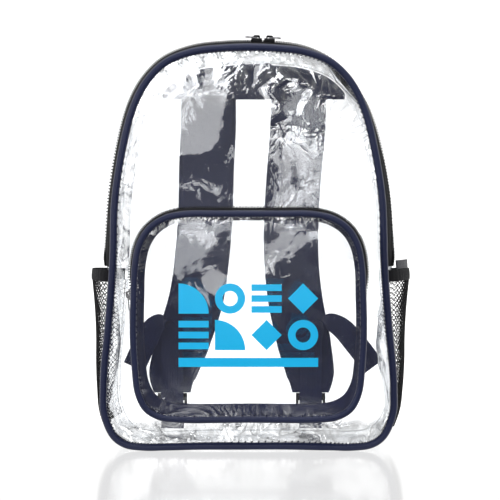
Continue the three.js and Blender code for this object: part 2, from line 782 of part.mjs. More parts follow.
// A padded strap with softly rounded edges, tapering to the lock that hangs from its end.
function addStrap(side, name, table) {
  const middles = table.map(([up, out, standOff]) => {
    const x = rearShift + side * out * bagWidth / 2;
    const z = up * bagHeight;
    return vector(x, rearFace(x, z) + strapSeat + standOff * strapStandOff, z);
  });
  const path = new THREE.CatmullRomCurve3(middles, false, 'centripetal');
  const steps = 2 * (table.length - 1);
  const rows = evenShares(0, 1, steps).map((t) => {
    const middle = path.getPoint(t);
    const along = path.getTangent(t);
    const across = vector(1, 0, 0).addScaledVector(along, -along.x).normalize();
    const away = across.clone().cross(along).normalize();
    const low = Math.min(table.length - 2, Math.floor(t * (table.length - 1)));
    const mix = t * (table.length - 1) - low;
    const width = strapWidth / 2 * THREE.MathUtils.lerp(table[low][3], table[low + 1][3], mix);
    const thick = strapThickness / 2 * THREE.MathUtils.lerp(table[low][4], table[low + 1][4], mix);
    const profile = [[-1, 0.3], [-0.84, 0.95], [0, 1], [0.84, 0.95], [1, 0.3]];
    const edge = (sign) => profile.map(([a, b]) => {
      return middle.clone().addScaledVector(across, a * width).addScaledVector(away, sign * b * thick);
    });
    return { top: edge(1), under: edge(-1) };
  });
  addPiece(bag, `strap_${name}`, solidFromRows(rows), navyCloth);
}

function lockCentre(side, table) {
  const [up, out, standOff] = table[table.length - 1];
  const x = rearShift + side * out * bagWidth / 2;
  const z = up * bagHeight - lockHeight / 2 - 2 * gap;
  return vector(x, rearFace(x, up * bagHeight) + strapSeat + standOff * strapStandOff, z);
}

function addLock(side, name, table) {
  const half = lockWidth / 2;
  const rise = lockHeight / 2;
  const plate = new THREE.Shape();
  plate.moveTo(-half, -rise);
  plate.lineTo(half, -rise);
  plate.lineTo(half, rise);
  plate.lineTo(-half, rise);
  plate.closePath();
  const slotHalf = webbingWidth / 2 + 3 * gap;
  const slot = new THREE.Path();
  slot.moveTo(-slotHalf, -lockSlotHeight / 2);
  slot.lineTo(slotHalf, -lockSlotHeight / 2);
  slot.lineTo(slotHalf, lockSlotHeight / 2);
  slot.lineTo(-slotHalf, lockSlotHeight / 2);
  slot.closePath();
  plate.holes.push(slot);
  const geometry = new THREE.ExtrudeGeometry(plate, { depth: lockWall, bevelEnabled: false });
  geometry.translate(0, 0, -lockWall / 2);
  geometry.rotateX(Math.PI / 2);
  const mesh = addPiece(bag, `lock_${name}`, geometry, blackPlastic);
  mesh.position.copy(lockCentre(side, table));
}

// A flat band along a path, with its width along given directions.
function bandRows(points, widthways, width, wall, steps) {
  const path = new THREE.CatmullRomCurve3(points, false, 'centripetal');
  return evenShares(0, 1, steps).map((t) => {
    const middle = path.getPoint(t);
    const along = path.getTangent(t);
    const low = Math.min(points.length - 2, Math.floor(t * (points.length - 1)));
    const across = widthways[low].clone().lerp(widthways[low + 1], t * (points.length - 1) - low);
    across.addScaledVector(along, -across.dot(along)).normalize();
    const away = across.clone().cross(along).normalize();
    const corner = (a, b) => {
      return middle.clone().addScaledVector(across, a * width / 2).addScaledVector(away, b * wall / 2);
    };
    return { top: [corner(-1, 1), corner(1, 1)], under: [corner(-1, -1), corner(1, -1)] };
  });
}

// The webbing comes down in front of the lock, through its slot, and hangs behind it as a tail.
function addWebbing(side, name, table) {
  const lock = lockCentre(side, table);
  const seamX = side * (bagWidth / 2 - pipingRadius - rearBindingRadius - webbingWidth / 2) + rearShift;
  const seat = gap + webbingWall / 2;
  const points = [];
  const widthways = [];
  for (const [toSeam, rise, standOff, x, y, z] of webbingRoute) {
    const height = lock.z + rise * bagHeight;
    const across = THREE.MathUtils.lerp(lock.x, seamX, toSeam);
    points.push(vector(across, rearFace(across, height) + seat + standOff * lockStandOff, height));
    widthways.push(vector(side * x, y, z));
  }
  const through = lockWall / 2 + webbingWall;
  const tailEnd = Math.min(lock.z - floorHeight - webbingWidth / 6, bagHeight / 12);
  const threading = [
    [-1.9 * through, lockHeight / 2],
    [-1.2 * through, lockSlotHeight / 3],
    [1.2 * through, -lockSlotHeight / 3],
    [1.9 * through, -lockHeight / 2],
    [1.9 * through, -tailEnd],
  ];
  for (const [y, z] of threading) {
    points.push(vector(lock.x, lock.y + y, lock.z + z));
    widthways.push(vector(side, 0, 0));
  }
  const rows = bandRows(points, widthways, webbingWidth, webbingWall, 32);
  addPiece(bag, `webbing_${name}`, solidFromRows(rows), navyCloth);
}

function addHaulLoop() {
  const foot = rightStrap[0][0] * bagHeight + haulWidth / 3;
  const back = (z, standOff) => rearFace(rearShift, z) + gap + yokeWall + gap + haulWall / 2 + standOff;
  const sides = [-1, 1].map((side) => [
    vector(rearShift + side * haulSpan, back(foot, 0), foot),
    vector(rearShift + side * haulSpan, back(foot, haulStandOff * 0.35), foot + haulRise * 0.42),
    vector(rearShift + side * haulSpan * 0.86, back(foot, haulStandOff * 0.85), foot + haulRise * 0.84),
  ]);
  const crown = vector(rearShift, back(foot, haulStandOff), foot + haulRise);
  const points = [...sides[0], crown, ...sides[1].reverse()];
  const flat = vector(1, 0, 0);
  const turned = vector(0.55, 0.8, 0);
  const backwards = vector(0, 1, 0);
  const turnedBack = vector(-0.55, 0.8, 0);
  const widthways = [flat, flat, turned, backwards, turnedBack, flat.clone().negate(), flat.clone().negate()];
  addPiece(bag, 'haul_loop', solidFromRows(bandRows(points, widthways, haulWidth, haulWall, 24)), navyCloth);
}

function addBack() {
  addYoke();
  for (const [side, name, table] of [[-1, 'left', leftStrap], [1, 'right', rightStrap]]) {
    addStrap(side, name, table);
    addLock(side, name, table);
    addWebbing(side, name, table);
  }
  addHaulLoop();
}

addBagBody();
addPocket();
addSliders();
addSidePocket(-1, 'left');
addSidePocket(1, 'right');
addBack();

// The origin is the middle of the bag's footprint, on the surface that it stands on.
const object = new THREE.Group();
object.add(bag);
const box = new THREE.Box3().setFromObject(object, true);
bag.position.set(-(box.min.x + box.max.x) / 2, -(box.min.y + box.max.y) / 2, -box.min.z);

export default object;
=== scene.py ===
import math

import bmesh
import bpy
from bpy.props import FloatProperty, FloatVectorProperty, IntProperty, PointerProperty
from mathutils import Matrix, Quaternion, Vector, noise


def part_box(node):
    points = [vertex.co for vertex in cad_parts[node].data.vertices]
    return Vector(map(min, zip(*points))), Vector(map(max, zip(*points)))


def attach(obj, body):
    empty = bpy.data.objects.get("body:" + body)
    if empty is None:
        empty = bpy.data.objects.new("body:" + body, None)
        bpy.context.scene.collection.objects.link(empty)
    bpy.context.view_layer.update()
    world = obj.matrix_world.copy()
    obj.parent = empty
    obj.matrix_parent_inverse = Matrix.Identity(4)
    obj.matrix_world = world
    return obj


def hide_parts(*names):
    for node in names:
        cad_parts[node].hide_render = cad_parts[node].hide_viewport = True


bl_info = {
    "name": "Clear Backpack",
    "version": (1, 0, 0),
    "blender": (4, 5, 0),
    "location": "View3D > Sidebar > Backpack",
    "description": "Builds a clear vinyl backpack with bound seams, zips, net pockets and padded straps",
    "category": "Add Mesh",
}

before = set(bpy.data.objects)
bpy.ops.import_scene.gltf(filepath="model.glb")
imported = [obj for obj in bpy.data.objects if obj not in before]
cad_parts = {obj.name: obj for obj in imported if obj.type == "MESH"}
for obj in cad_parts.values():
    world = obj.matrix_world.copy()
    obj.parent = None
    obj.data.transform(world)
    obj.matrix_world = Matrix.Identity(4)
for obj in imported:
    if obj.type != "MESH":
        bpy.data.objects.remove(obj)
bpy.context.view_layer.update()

# The middle of the front seam's plane, from which all places below are measured.
BINDING_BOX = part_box("front_piping")
ORIGIN = Vector((
    (BINDING_BOX[0][0] + BINDING_BOX[1][0]) / 2,
    (BINDING_BOX[0][1] + BINDING_BOX[1][1]) / 2,
    0,
))

# Half of the front seam, from the middle of the bottom to the middle of the top:
# height as a share of the bag's height, distance out as a share of half the seam's width.
BAG_OUTLINE = [
    (0.0125, 0), (0.0125, 0.3), (0.0106, 0.55), (0.0098, 0.72), (0.0165, 0.85), (0.038, 0.932),
    (0.092, 0.994), (0.15, 1), (0.212, 0.992), (0.272, 0.975), (0.334, 0.96), (0.394, 0.947),
    (0.444, 0.938), (0.493, 0.932), (0.615, 0.921), (0.738, 0.87), (0.838, 0.8), (0.905, 0.708),
    (0.955, 0.57), (0.981, 0.385), (0.9895, 0.196), (0.992, 0),
]

# Half of the pocket's seam, in shares of its height and of half its width.
POCKET_OUTLINE = [
    (0, 0), (0, 0.6), (0.012, 0.77), (0.05, 0.885), (0.125, 0.955), (0.255, 0.985), (0.42, 1),
    (0.6, 0.995), (0.75, 0.982), (0.85, 0.945), (0.925, 0.865), (0.977, 0.73), (0.998, 0.56),
    (1, 0.3), (1, 0),
]

# Where the soft wall caves in: place round, place across, reach round, reach across, depth.
WALL_DENTS = [
    (0.41, 0.22, 0.035, 0.2, 0.2), (0.2, 0.5, 0.07, 0.3, 0.13), (0.8, 0.5, 0.06, 0.28, 0.08),
    (0.35, 0.66, 0.04, 0.2, 0.05), (0.65, 0.6, 0.045, 0.22, 0.05), (0.55, 0.68, 0.045, 0.2, 0.05),
]

# Soft dents of the front panel: place across, height, reach across, reach up, depth.
PANEL_DENTS = [
    (-0.55, 0.84, 0.22, 0.05, 0.3), (0.5, 0.86, 0.25, 0.05, 0.35), (0.1, 0.74, 0.3, 0.05, 0.25),
]

# The padded straps: height, distance out, stand-off, width and thickness, all as shares.
RIGHT_STRAP = [
    (0.905, 0.33, 0, 0.98, 0.5), (0.82, 0.325, 0.28, 1, 0.9), (0.72, 0.305, 0.68, 1, 1),
    (0.6, 0.285, 0.95, 1, 1), (0.48, 0.28, 1, 1, 1), (0.36, 0.31, 0.95, 1, 1),
    (0.24, 0.375, 0.76, 0.98, 1), (0.155, 0.42, 0.46, 0.86, 0.9), (0.108, 0.42, 0.38, 0.66, 0.45),
]
LEFT_STRAP = [
    (0.905, 0.33, 0, 0.98, 0.5), (0.82, 0.335, 0.28, 1, 0.9), (0.72, 0.35, 0.68, 1, 1),
    (0.6, 0.36, 0.95, 1, 1), (0.48, 0.385, 1, 1, 1), (0.36, 0.43, 0.95, 1, 1),
    (0.24, 0.53, 0.76, 0.98, 1), (0.155, 0.6, 0.46, 0.86, 0.9), (0.108, 0.6, 0.38, 0.66, 0.45),
]

# The lower webbing: share of the way to the seam, rise, stand-off, and the direction of its width.
WEBBING_ROUTE = [
    (1, 0.1, 0.04, 0.7, 0, 0.75), (0.74, 0.158, 0.36, 0.6, 0.1, 0.8),
    (0.46, 0.208, 0.78, 0.6, 0.4, 0.6), (0.2, 0.222, 0.9, 0.4, 0.6, 0.2),
    (0.03, 0.18, 0.85, 0.9, 0.4, 0), (0, 0.11, 0.6, 1, 0.1, 0),
]

# Radii, widths, walls and heights in metres.
GAP = 0.0003
VINYL = 0.0011
BINDING = 0.004
REAR_BINDING = 0.0026
POCKET_BINDING = 0.0036
ZIP_END = 0.188
TAPE = 0.025
POCKET_TAPE = 0.02
POCKET_ZIP_END = 0.15
TEETH_WIDTH = 0.005
TEETH_HEIGHT = 0.0016
NET_BOTTOM = 0.026
NET_TOP = 0.172
NET_THREAD = 0.0011
HEM_HEIGHT = 0.012
YOKE_WALL = 0.0016
YOKE_BOTTOM = 0.372
LOCK_DROP = 0.0116
STRAP_STAND_OFF = 0.032
WEBBING_WALL = 0.0014
WEBBING_STAND_OFF = 0.015
PANEL_BULGE = 0.0008


def clamp(value, low=0.0, high=1.0):
    return max(low, min(high, value))


def mix(a, b, share):
    return a + (b - a) * share


def smoothstep(value, low, high):
    share = clamp((value - low) / (high - low))
    return share * share * (3 - 2 * share)


def bump(distance):
    return math.exp(-distance * distance)


def arch(share):
    return max(0.0, math.sin(math.pi * share))


# Curves and seams


class Curve:
    """A smooth curve through points, with the spacing of a centripetal spline."""

    def __init__(self, points, closed=False):
        self.points = [Vector(p) for p in points]
        self.closed = closed

    def point(self, t):
        pts = self.points
        count = len(pts)
        place = (count if self.closed else count - 1) * t
        low = math.floor(place)
        share = place - low
        if not self.closed and low >= count - 1:
            low, share = count - 2, place - (count - 2)
        if self.closed:
            p0, p1, p2, p3 = (pts[(low + n) % count] for n in (-1, 0, 1, 2))
        else:
            low = max(0, low)
            share = place - low
            p1, p2 = pts[low], pts[low + 1]
            p0 = pts[low - 1] if low > 0 else 2 * p1 - p2
            p3 = pts[low + 2] if low + 2 < count else 2 * p2 - p1
        d0, d1, d2 = ((b - a).length ** 0.5 for a, b in ((p0, p1), (p1, p2), (p2, p3)))
        leave = ((p1 - p0) / d0 - (p2 - p0) / (d0 + d1) + (p2 - p1) / d1) * d1
        reach = ((p2 - p1) / d1 - (p3 - p1) / (d1 + d2) + (p3 - p2) / d2) * d1
        c2 = 3 * (p2 - p1) - 2 * leave - reach
        c3 = 2 * (p1 - p2) + leave + reach
        return p1 + leave * share + c2 * share ** 2 + c3 * share ** 3

    def along(self, t):
        step = 1e-4
        low, high = (t - step, t + step) if self.closed else (max(0, t - step), min(1, t + step))
        return (self.point(high) - self.point(low)).normalized()


class Seam:
    """A closed seam, with its points and the directions out of its plane figure."""

    def __init__(self, points):
        self.points = points
        count = len(points)
        self.outs = []
        for i in range(count):
            run = points[(i + 1) % count] - points[i - 1]
            self.outs.append(Vector((run.z, 0, -run.x)).normalized())

    def _between(self, values, t):
        place = (t % 1.0) * len(values)
        low = math.floor(place)
        return values[low % len(values)].lerp(values[(low + 1) % len(values)], place - low)

    def point(self, t):
        return self._between(self.points, t)

    def out(self, t):
        return self._between(self.outs, t).normalized()

    def moved(self, move):
        return Seam([move(p.copy()) for p in self.points])

    def length(self, first=0.0, last=1.0):
        steps = 200
        places = [mix(first, last, i / steps) for i in range(steps + 1)]
        return sum((self.point(b) - self.point(a)).length for a, b in zip(places, places[1:]))

    def at_height(self, height):
        """The place on the right-hand side where the seam passes a height on its way up."""
        steps = 400
        for i in range(steps):
            low, high = (self.point(0.5 * n / steps) for n in (i, i + 1))
            if low.z < height <= high.z:
                return 0.5 * (i + (height - low.z) / (high.z - low.z)) / steps
        raise ValueError(f"no place on the seam is at {height} m")


def seam_from_outline(outline, half_width, height, lift=0.0):
    right = [Vector((out * half_width, 0, lift + up * height)) for up, out in outline]
    left = [Vector((-p.x, 0, p.z)) for p in reversed(right[1:-1])]
    curve = Curve(right + left, closed=True)
    count = 480
    return Seam([curve.point(i / count) for i in range(count)])


def wrinkle(point, wavelength, seed, stretch=(1, 1, 1)):
    place = Vector(p / wavelength * s for p, s in zip(point, stretch)) + Vector((seed, -seed, 2 * seed))
    return noise.noise(place)


def crease(point, wavelength, seed, stretch=(1, 1, 1)):
    """Sharp-ridged folds, from 0 in the hollows to 1 on the ridges."""
    return (1 - abs(wrinkle(point, wavelength, seed, stretch))) ** 3


class BagShape:
    """The bag's seams, walls and faces, worked out from the sizes in the sidebar."""

    def __init__(self, sizes):
        self.width = sizes.bag_width
        self.height = sizes.bag_height
        self.depth = sizes.bag_depth
        self.shift = sizes.rear_shift
        self.crumple = sizes.crumple
        self.front = seam_from_outline(BAG_OUTLINE, self.width / 2 - BINDING, self.height)
        self.rear = self.front.moved(lambda p: p + Vector((self.shift, self.depth, 0)))
        self.zip_first = self.front.at_height(ZIP_END)
        self.pocket_width = sizes.pocket_width
        self.pocket_height = sizes.pocket_height
        self.pocket_depth = sizes.pocket_depth
        self.pocket_lift = sizes.pocket_lift
        seam = seam_from_outline(POCKET_OUTLINE, self.pocket_width / 2, self.pocket_height, self.pocket_lift)
        self.pocket_front = seam.moved(lambda p: p + Vector((0, -self.pocket_depth, 0)))
        self.pocket_base = self.pocket_front.moved(self._onto_panel)
        self.pocket_zip_first = self.pocket_front.at_height(POCKET_ZIP_END)

    def _onto_panel(self, point):
        left, right, top, bottom = 0.007, 0.004, 0.005, 0.011
        x = point.x * (1 - (left + right) / self.pocket_width) + (left - right) / 2
        up = (point.z - self.pocket_lift) * (1 - (top + bottom) / self.pocket_height)
        z = self.pocket_lift + bottom + up
        return Vector((x, self.front_face(x, z) - GAP, z))

    def panel_bulge(self, x, z):
        above = self.pocket_lift + self.pocket_height + 0.024
        rise = clamp((z - above) / (self.height - above))
        start = smoothstep(rise, 0, 0.3)
        across = x / (self.width / 2)
        bulge = PANEL_BULGE * math.sin(math.pi * rise) * start * max(0, 1 - across ** 2)
        for place, up, reach_across, reach_up, depth in PANEL_DENTS:
            near = bump((across - place) / reach_across) * bump((z / self.height - up) / reach_up)
            bulge -= depth * PANEL_BULGE * near * math.sin(math.pi * rise) * start
        return bulge

    def front_face(self, x, z):
        return -VINYL / 2 - self.panel_bulge(x, z)

    def rear_face(self, x, z):
        across = (x - self.shift) / (self.width / 2)
        bulge = 0.005 * math.sin(math.pi * clamp(z / self.height)) * max(0, 1 - across ** 2)
        return self.depth + VINYL / 2 + bulge

    def pocket_face(self, x, z):
        across = min(1, abs(x) / (self.pocket_width / 2))
        up = clamp((z - self.pocket_lift) / self.pocket_height)
        return -self.pocket_depth - VINYL / 2 - 0.003 * (1 - across ** 2) * math.sin(math.pi * up)

    def main_bulge(self, around, share, height, plain=False):
        rise = smoothstep(height, ZIP_END - self.height / 24, ZIP_END + self.height / 40)
        sag = 0.01 * (1 - smoothstep(height, 0.02 * self.height, 0.06 * self.height))
        swell = 0.003 * bump((height - ZIP_END) / (self.height / 10))
        bulge = (max(sag, mix(0.006, 0.013, rise)) + swell) * arch(share) ** 0.4
        if plain:
            return bulge
        for place, across, reach_round, reach_across, depth in WALL_DENTS:
            near = bump((around - place) / reach_round) * bump((share - across) / reach_across)
            bulge -= depth * self.depth * near * arch(share)
        return bulge

    def wall_point(self, t, share, plain=False):
        start, end = BINDING + GAP, REAR_BINDING + GAP
        t = t % 1.0
        near, far = self.front.point(t), self.rear.point(t)
        point = near.lerp(far, share)
        point.y = mix(near.y + start, far.y - end, share)
        point += self.front.out(t) * self.main_bulge(t, share, near.z, plain)
        point.z = max(point.z, 0.0)
        return point

    @property
    def wall_depth(self):
        return self.depth - BINDING - REAR_BINDING - 2 * GAP

    def pocket_wall_point(self, t, share):
        start = POCKET_BINDING + GAP
        near, far = self.pocket_front.point(t), self.pocket_base.point(t)
        point = near.lerp(far, share)
        point.y = mix(near.y + start, far.y, share)
        rise = smoothstep(near.z, POCKET_ZIP_END, POCKET_ZIP_END + self.pocket_height / 6)
        return point + self.pocket_front.out(t) * mix(0.004, 0.009, rise) * arch(share) ** 0.7

    @property
    def pocket_wall_depth(self):
        return self.pocket_base.points[0].y - self.pocket_front.points[0].y - POCKET_BINDING - GAP

    def net_point(self, side, height, share, lift=0.0):
        t = self.front.at_height(clamp(height, NET_BOTTOM, NET_TOP))
        t = t if side > 0 else 1 - t
        rise = clamp((height - NET_BOTTOM) / (NET_TOP - NET_BOTTOM))
        swell = 0.017 * rise * arch(share) ** 0.6
        return self.wall_point(t, share, plain=True) + self.front.out(t) * (0.003 + swell + lift)


def bag_shape(context):
    return BagShape(context.scene.backpack_sizes)


# Meshes


def add_piece(name, bm, slot, node=None, middle=None, wall=0, material=None, body="bag", smooth=True):
    """Turns a bmesh into a piece, with its material (named by its slot unless another is given), its body
    and the solid that it stands for.
    """
    if middle is not None:
        face_outwards(bm, middle)
    mesh = bpy.data.meshes.new(name)
    bm.to_mesh(mesh)
    bm.free()
    for polygon in mesh.polygons:
        polygon.use_smooth = smooth
    piece = bpy.data.objects.new(name, mesh)
    bpy.context.scene.collection.objects.link(piece)
    mesh.materials.append(look(material or slot))
    if wall:
        add_modifier(piece, "SOLIDIFY", thickness=wall, offset=-1.0, use_even_offset=False)
    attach(piece, body)
    if node:
        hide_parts(node)
    return piece


def add_modifier(piece, kind, **settings):
    modifier = piece.modifiers.new(kind.title(), kind)
    for key, value in settings.items():
        setattr(modifier, key, value)
    return modifier


def grid_sheet(across, up, point_at, size, weld=False, extra=None):
    """A grid laid on point_at(u, v), with a UV map in metres and an optional value for each point."""
    bm = bmesh.new()
    uv = bm.loops.layers.uv.new("Cloth")
    bmesh.ops.create_grid(bm, x_segments=across, y_segments=up, size=0.5, calc_uvs=False)
    store = bm.verts.layers.float.new("crumple") if extra else None
    places = {}
    for vert in bm.verts:
        u, v = vert.co.x + 0.5, vert.co.y + 0.5
        places[vert] = (u, v)
    for face in bm.faces:
        for loop in face.loops:
            u, v = places[loop.vert]
            loop[uv].uv = (u * size[0], v * size[1])
    for vert, (u, v) in places.items():
        vert.co = point_at(u, v) + ORIGIN
        if extra:
            vert[store] = extra(u, v)
    if weld:
        bmesh.ops.remove_doubles(bm, verts=bm.verts, dist=1e-5)
    return bm


def face_outwards(bm, middle=None):
    """Turns an open sheet's faces away from a middle point, or a closed shell's outwards."""
    bmesh.ops.recalc_face_normals(bm, faces=bm.faces)
    if middle is None:
        return bm
    facing = sum(face.normal.dot(face.calc_center_median() - middle) for face in bm.faces)
    if facing < 0:
        bmesh.ops.reverse_faces(bm, faces=bm.faces)
    return bm


def bag_middle(shape):
    return ORIGIN + Vector((0, shape.depth / 2, shape.height / 2))


def panel_sheet(seam, face_at, inset, corner, cells, crumple_at, size):
    """A panel that fills a seam, as a grid whose four sides are stretches of the seam."""
    def edge(t):
        return seam.point(t) - seam.out(t) * inset

    corners = [edge(-corner), edge(corner), edge(0.5 + corner), edge(0.5 - corner)]

    def point_at(u, v):
        point = edge(mix(-corner, corner, u)) * (1 - v) + edge(mix(0.5 + corner, 0.5 - corner, u)) * v
        point += edge(-corner - v * (0.5 - 2 * corner)) * (1 - u) + edge(corner + v * (0.5 - 2 * corner)) * u
        point -= corners[0] * (1 - u) * (1 - v) + corners[1] * u * (1 - v)
        point -= corners[2] * (1 - u) * v + corners[3] * u * v
        rim = clamp(min(u, 1 - u, v, 1 - v) * 14)
        point.y = face_at(point.x, point.z, rim)
        return point

    return grid_sheet(*cells, point_at, size, extra=crumple_at)


def tube_round(seam, radius_at, sides, steps, size):
    """A round binding along a whole seam, radius_at giving its section."""
    def point_at(u, v):
        angle = 2 * math.pi * v
        out, across = radius_at(angle, u)
        return seam.point(u) + seam.out(u) * out + Vector((0, across, 0))

    return face_outwards(grid_sheet(steps, sides, point_at, size, weld=True))


def add_stitches(bm, places, length, width):
    """Adds a stitch at each place, given as its middle, its direction and the way it faces."""
    for middle, along, away in places:
        side = away.cross(along).normalized()
        turn = Matrix((along.normalized(), side, along.cross(side).normalized())).transposed().to_4x4()
        stretch = Matrix.Diagonal((length / 2, width / 2, width / 2.6, 1))
        matrix = Matrix.Translation(middle + ORIGIN) @ turn @ stretch
        bmesh.ops.create_icosphere(bm, subdivisions=1, radius=1, matrix=matrix)


def add_block(bm, middle, along, away, sizes):
    """Adds a small block, sized along, across and away."""
    side = away.cross(along).normalized()
    up = along.cross(side).normalized()
    turn = Matrix((along.normalized(), side, up)).transposed().to_4x4()
    matrix = Matrix.Translation(middle + ORIGIN) @ turn @ Matrix.Diagonal((*sizes, 1))
    bmesh.ops.create_cube(bm, size=1, matrix=matrix)


def bevelled_copy(node, name, width, slot, material=None, body="bag", segments=2):
    """A CAD solid with its edges softened."""
    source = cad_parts[node]
    bm = bmesh.new()
    bm.from_mesh(source.data)
    bm.transform(source.matrix_world)
    bmesh.ops.remove_doubles(bm, verts=bm.verts, dist=1e-6)
    bmesh.ops.dissolve_limit(bm, angle_limit=0.02, verts=bm.verts, edges=bm.edges)
    sharp = [edge for edge in bm.edges if edge.is_manifold and edge.calc_face_angle(0) > 0.5]
    bmesh.ops.bevel(
        bm, geom=sharp, offset=width, offset_type="OFFSET", affect="EDGES", segments=segments,
        profile=0.5, material=-1, clamp_overlap=True,
    )
    bmesh.ops.triangulate(bm, faces=[face for face in bm.faces if len(face.verts) > 4])
    return add_piece(name, bm, slot, node, material=material, body=body, smooth=False)


# Materials


class Value:
    """A node's number output that sums, products and powers can be written with."""

    def __init__(self, finish, socket):
        self.finish = finish
        self.socket = socket

    def _maths(self, operation, *others):
        inputs = [self, *others]
        node = self.finish.node("ShaderNodeMath", {"operation": operation}, dict(enumerate(inputs)))
        return Value(self.finish, node.outputs[0])

    def __add__(self, other):
        return self._maths("ADD", other)

    def __mul__(self, other):
        return self._maths("MULTIPLY", other)

    def __sub__(self, other):
        return self._maths("SUBTRACT", other)

    def __rsub__(self, other):
        return (self * -1) + other

    def __pow__(self, other):
        return self._maths("POWER", other)

    def __abs__(self):
        return self._maths("ABSOLUTE")

    def sine(self):
        return self._maths("SINE")

    def at_least(self, other):
        return self._maths("MAXIMUM", other)

    def between(self, low, high):
        """Rises smoothly from 0 to 1 between two limits."""
        settings = {"interpolation_type": "SMOOTHSTEP", "clamp": True}
        values = {"Value": self, "From Min": low, "From Max": high}
        return Value(self.finish, self.finish.node("ShaderNodeMapRange", settings, values).outputs[0])


class Finish:
    """The nodes of a material or of the world."""

    def __init__(self, name, kind=bpy.data.materials):
        self.owner = kind.new(name)
        self.owner.use_nodes = True
        self.tree = self.owner.node_tree
        self.tree.nodes.clear()
        self.object_place = None

    def node(self, kind, settings=None, values=None):
        node = self.tree.nodes.new(kind)
        for key, value in (settings or {}).items():
            setattr(node, key, value)
        for key, value in (values or {}).items():
            socket = node.inputs[key]
            if isinstance(value, Value):
                value = value.socket
            if isinstance(value, bpy.types.NodeSocket):
                self.tree.links.new(value, socket)
            else:
                socket.default_value = value
        return node

    def place(self):
        if self.object_place is None:
            self.object_place = self.node("ShaderNodeTexCoord").outputs["Object"]
        return self.object_place

    def split(self, vector):
        """The three parts of a vector."""
        parts = self.node("ShaderNodeSeparateXYZ", None, {"Vector": vector})
        return [Value(self, parts.outputs[key]) for key in "XYZ"]

    def seen(self):
        """1 where the camera looks straight or through clear sheets, 0 in mirrored and scattered light."""
        return Value(self, self.node("ShaderNodeLightPath").outputs["Is Camera Ray"])

    def noise(self, scale, detail=3.0, roughness=0.5, distortion=0.0, stretch=None):
        place = self.place()
        if stretch:
            place = self.node("ShaderNodeMapping", None, {"Vector": place, "Scale": stretch}).outputs[0]
        values = {
            "Vector": place, "Scale": scale, "Detail": detail, "Roughness": roughness,
            "Distortion": distortion,
        }
        return Value(self, self.node("ShaderNodeTexNoise", None, values).outputs["Fac"])

    def attribute(self, name):
        return Value(self, self.node("ShaderNodeAttribute", {"attribute_name": name}).outputs["Fac"])

    def blend(self, factor, low, high):
        node = self.node("ShaderNodeMix", {"data_type": "RGBA"}, {"Factor": factor})
        for key, colour in (("A", low), ("B", high)):
            socket = next(s for s in node.inputs if s.name == key and s.type == "RGBA")
            socket.default_value = (*colour, 1)
        return next(s for s in node.outputs if s.type == "RGBA")

    def bumped(self, height, distance, under=None):
        values = {"Height": height, "Distance": distance}
        if under:
            values["Normal"] = under
        return self.node("ShaderNodeBump", None, values).outputs["Normal"]

    def mixed(self, factor, first, second):
        values = {0: factor, 1: first.outputs[0], 2: second.outputs[0]}
        return self.node("ShaderNodeMixShader", None, values)

    def close(self, values, mirror=None):
        """Adds the surface and the output. With mirror, clear vinyl shows the surface by that share only."""
        surface = self.node("ShaderNodeBsdfPrincipled", None, values)
        if mirror:
            clear = self.node("ShaderNodeBsdfTransparent", None, {"Color": (0.992, 0.995, 0.998, 1)})
            surface = self.mixed(mirror, clear, surface)
        self.node("ShaderNodeOutputMaterial", None, {"Surface": surface.outputs[0]})
        return self.owner


LOOKS = {}


def look(name):
    """The named material, made once."""
    if name not in LOOKS:
        looks = bpy.context.scene.backpack_looks
        if name in CLOTHS:
            colour, *rest = CLOTHS[name]
            LOOKS[name] = cloth_look(name, getattr(looks, colour), *rest)
        else:
            LOOKS[name] = LOOK_MAKERS[name](looks)
    return LOOKS[name]


def vinyl_look(name, crumple_depth, haze):
    """Clear vinyl: it lets the light through, mirrors more at a slant, and its creases catch the light. Its
    mirror colour is painted greyer at a slant, a painted shade.
    """
    finish = Finish(name)
    soft = finish.noise(10, 2, 0.5, 0.6)
    waves = finish.noise(24, 1, 0.5, 0.8)
    folds = finish.noise(26, 1.5, 0.5, 1.8)
    ridges = 1 - abs(folds * 2 - 1)
    fine = finish.noise(60, 1.5, 0.5, 2.0)
    creases = 1 - abs(fine * 2 - 1)
    crumple = finish.attribute("crumple")
    height = soft * 0.4 + waves * 0.08 + (ridges * 0.5 + creases * 0.08) * crumple
    normal = finish.bumped(height, crumple_depth)
    weight = finish.node("ShaderNodeLayerWeight", None, {"Blend": 0.5, "Normal": normal})
    slant = Value(finish, weight.outputs["Facing"])
    lines = (creases ** 14 * 0.3 + ridges ** 12 * 0.6) * crumple ** 2
    mirror = slant ** 5 * 0.9 + 0.03 + finish.noise(420, 2, 0.5) * haze + lines
    return finish.close({
        # Painted shade: the mirror's colour turns from near white to grey as the sheet is seen more at a
        # slant.
        "Base Color": finish.blend(slant ** 3, (0.95, 0.96, 0.97), (0.3, 0.32, 0.35)),
        "Metallic": 1.0, "Normal": normal,
        "Roughness": finish.noise(300, 2, 0.5) * 0.03 + 0.01,
    }, mirror)


def shades(colour, low, high):
    return [tuple(clamp(part * share) for part in colour) for share in (low, high)]


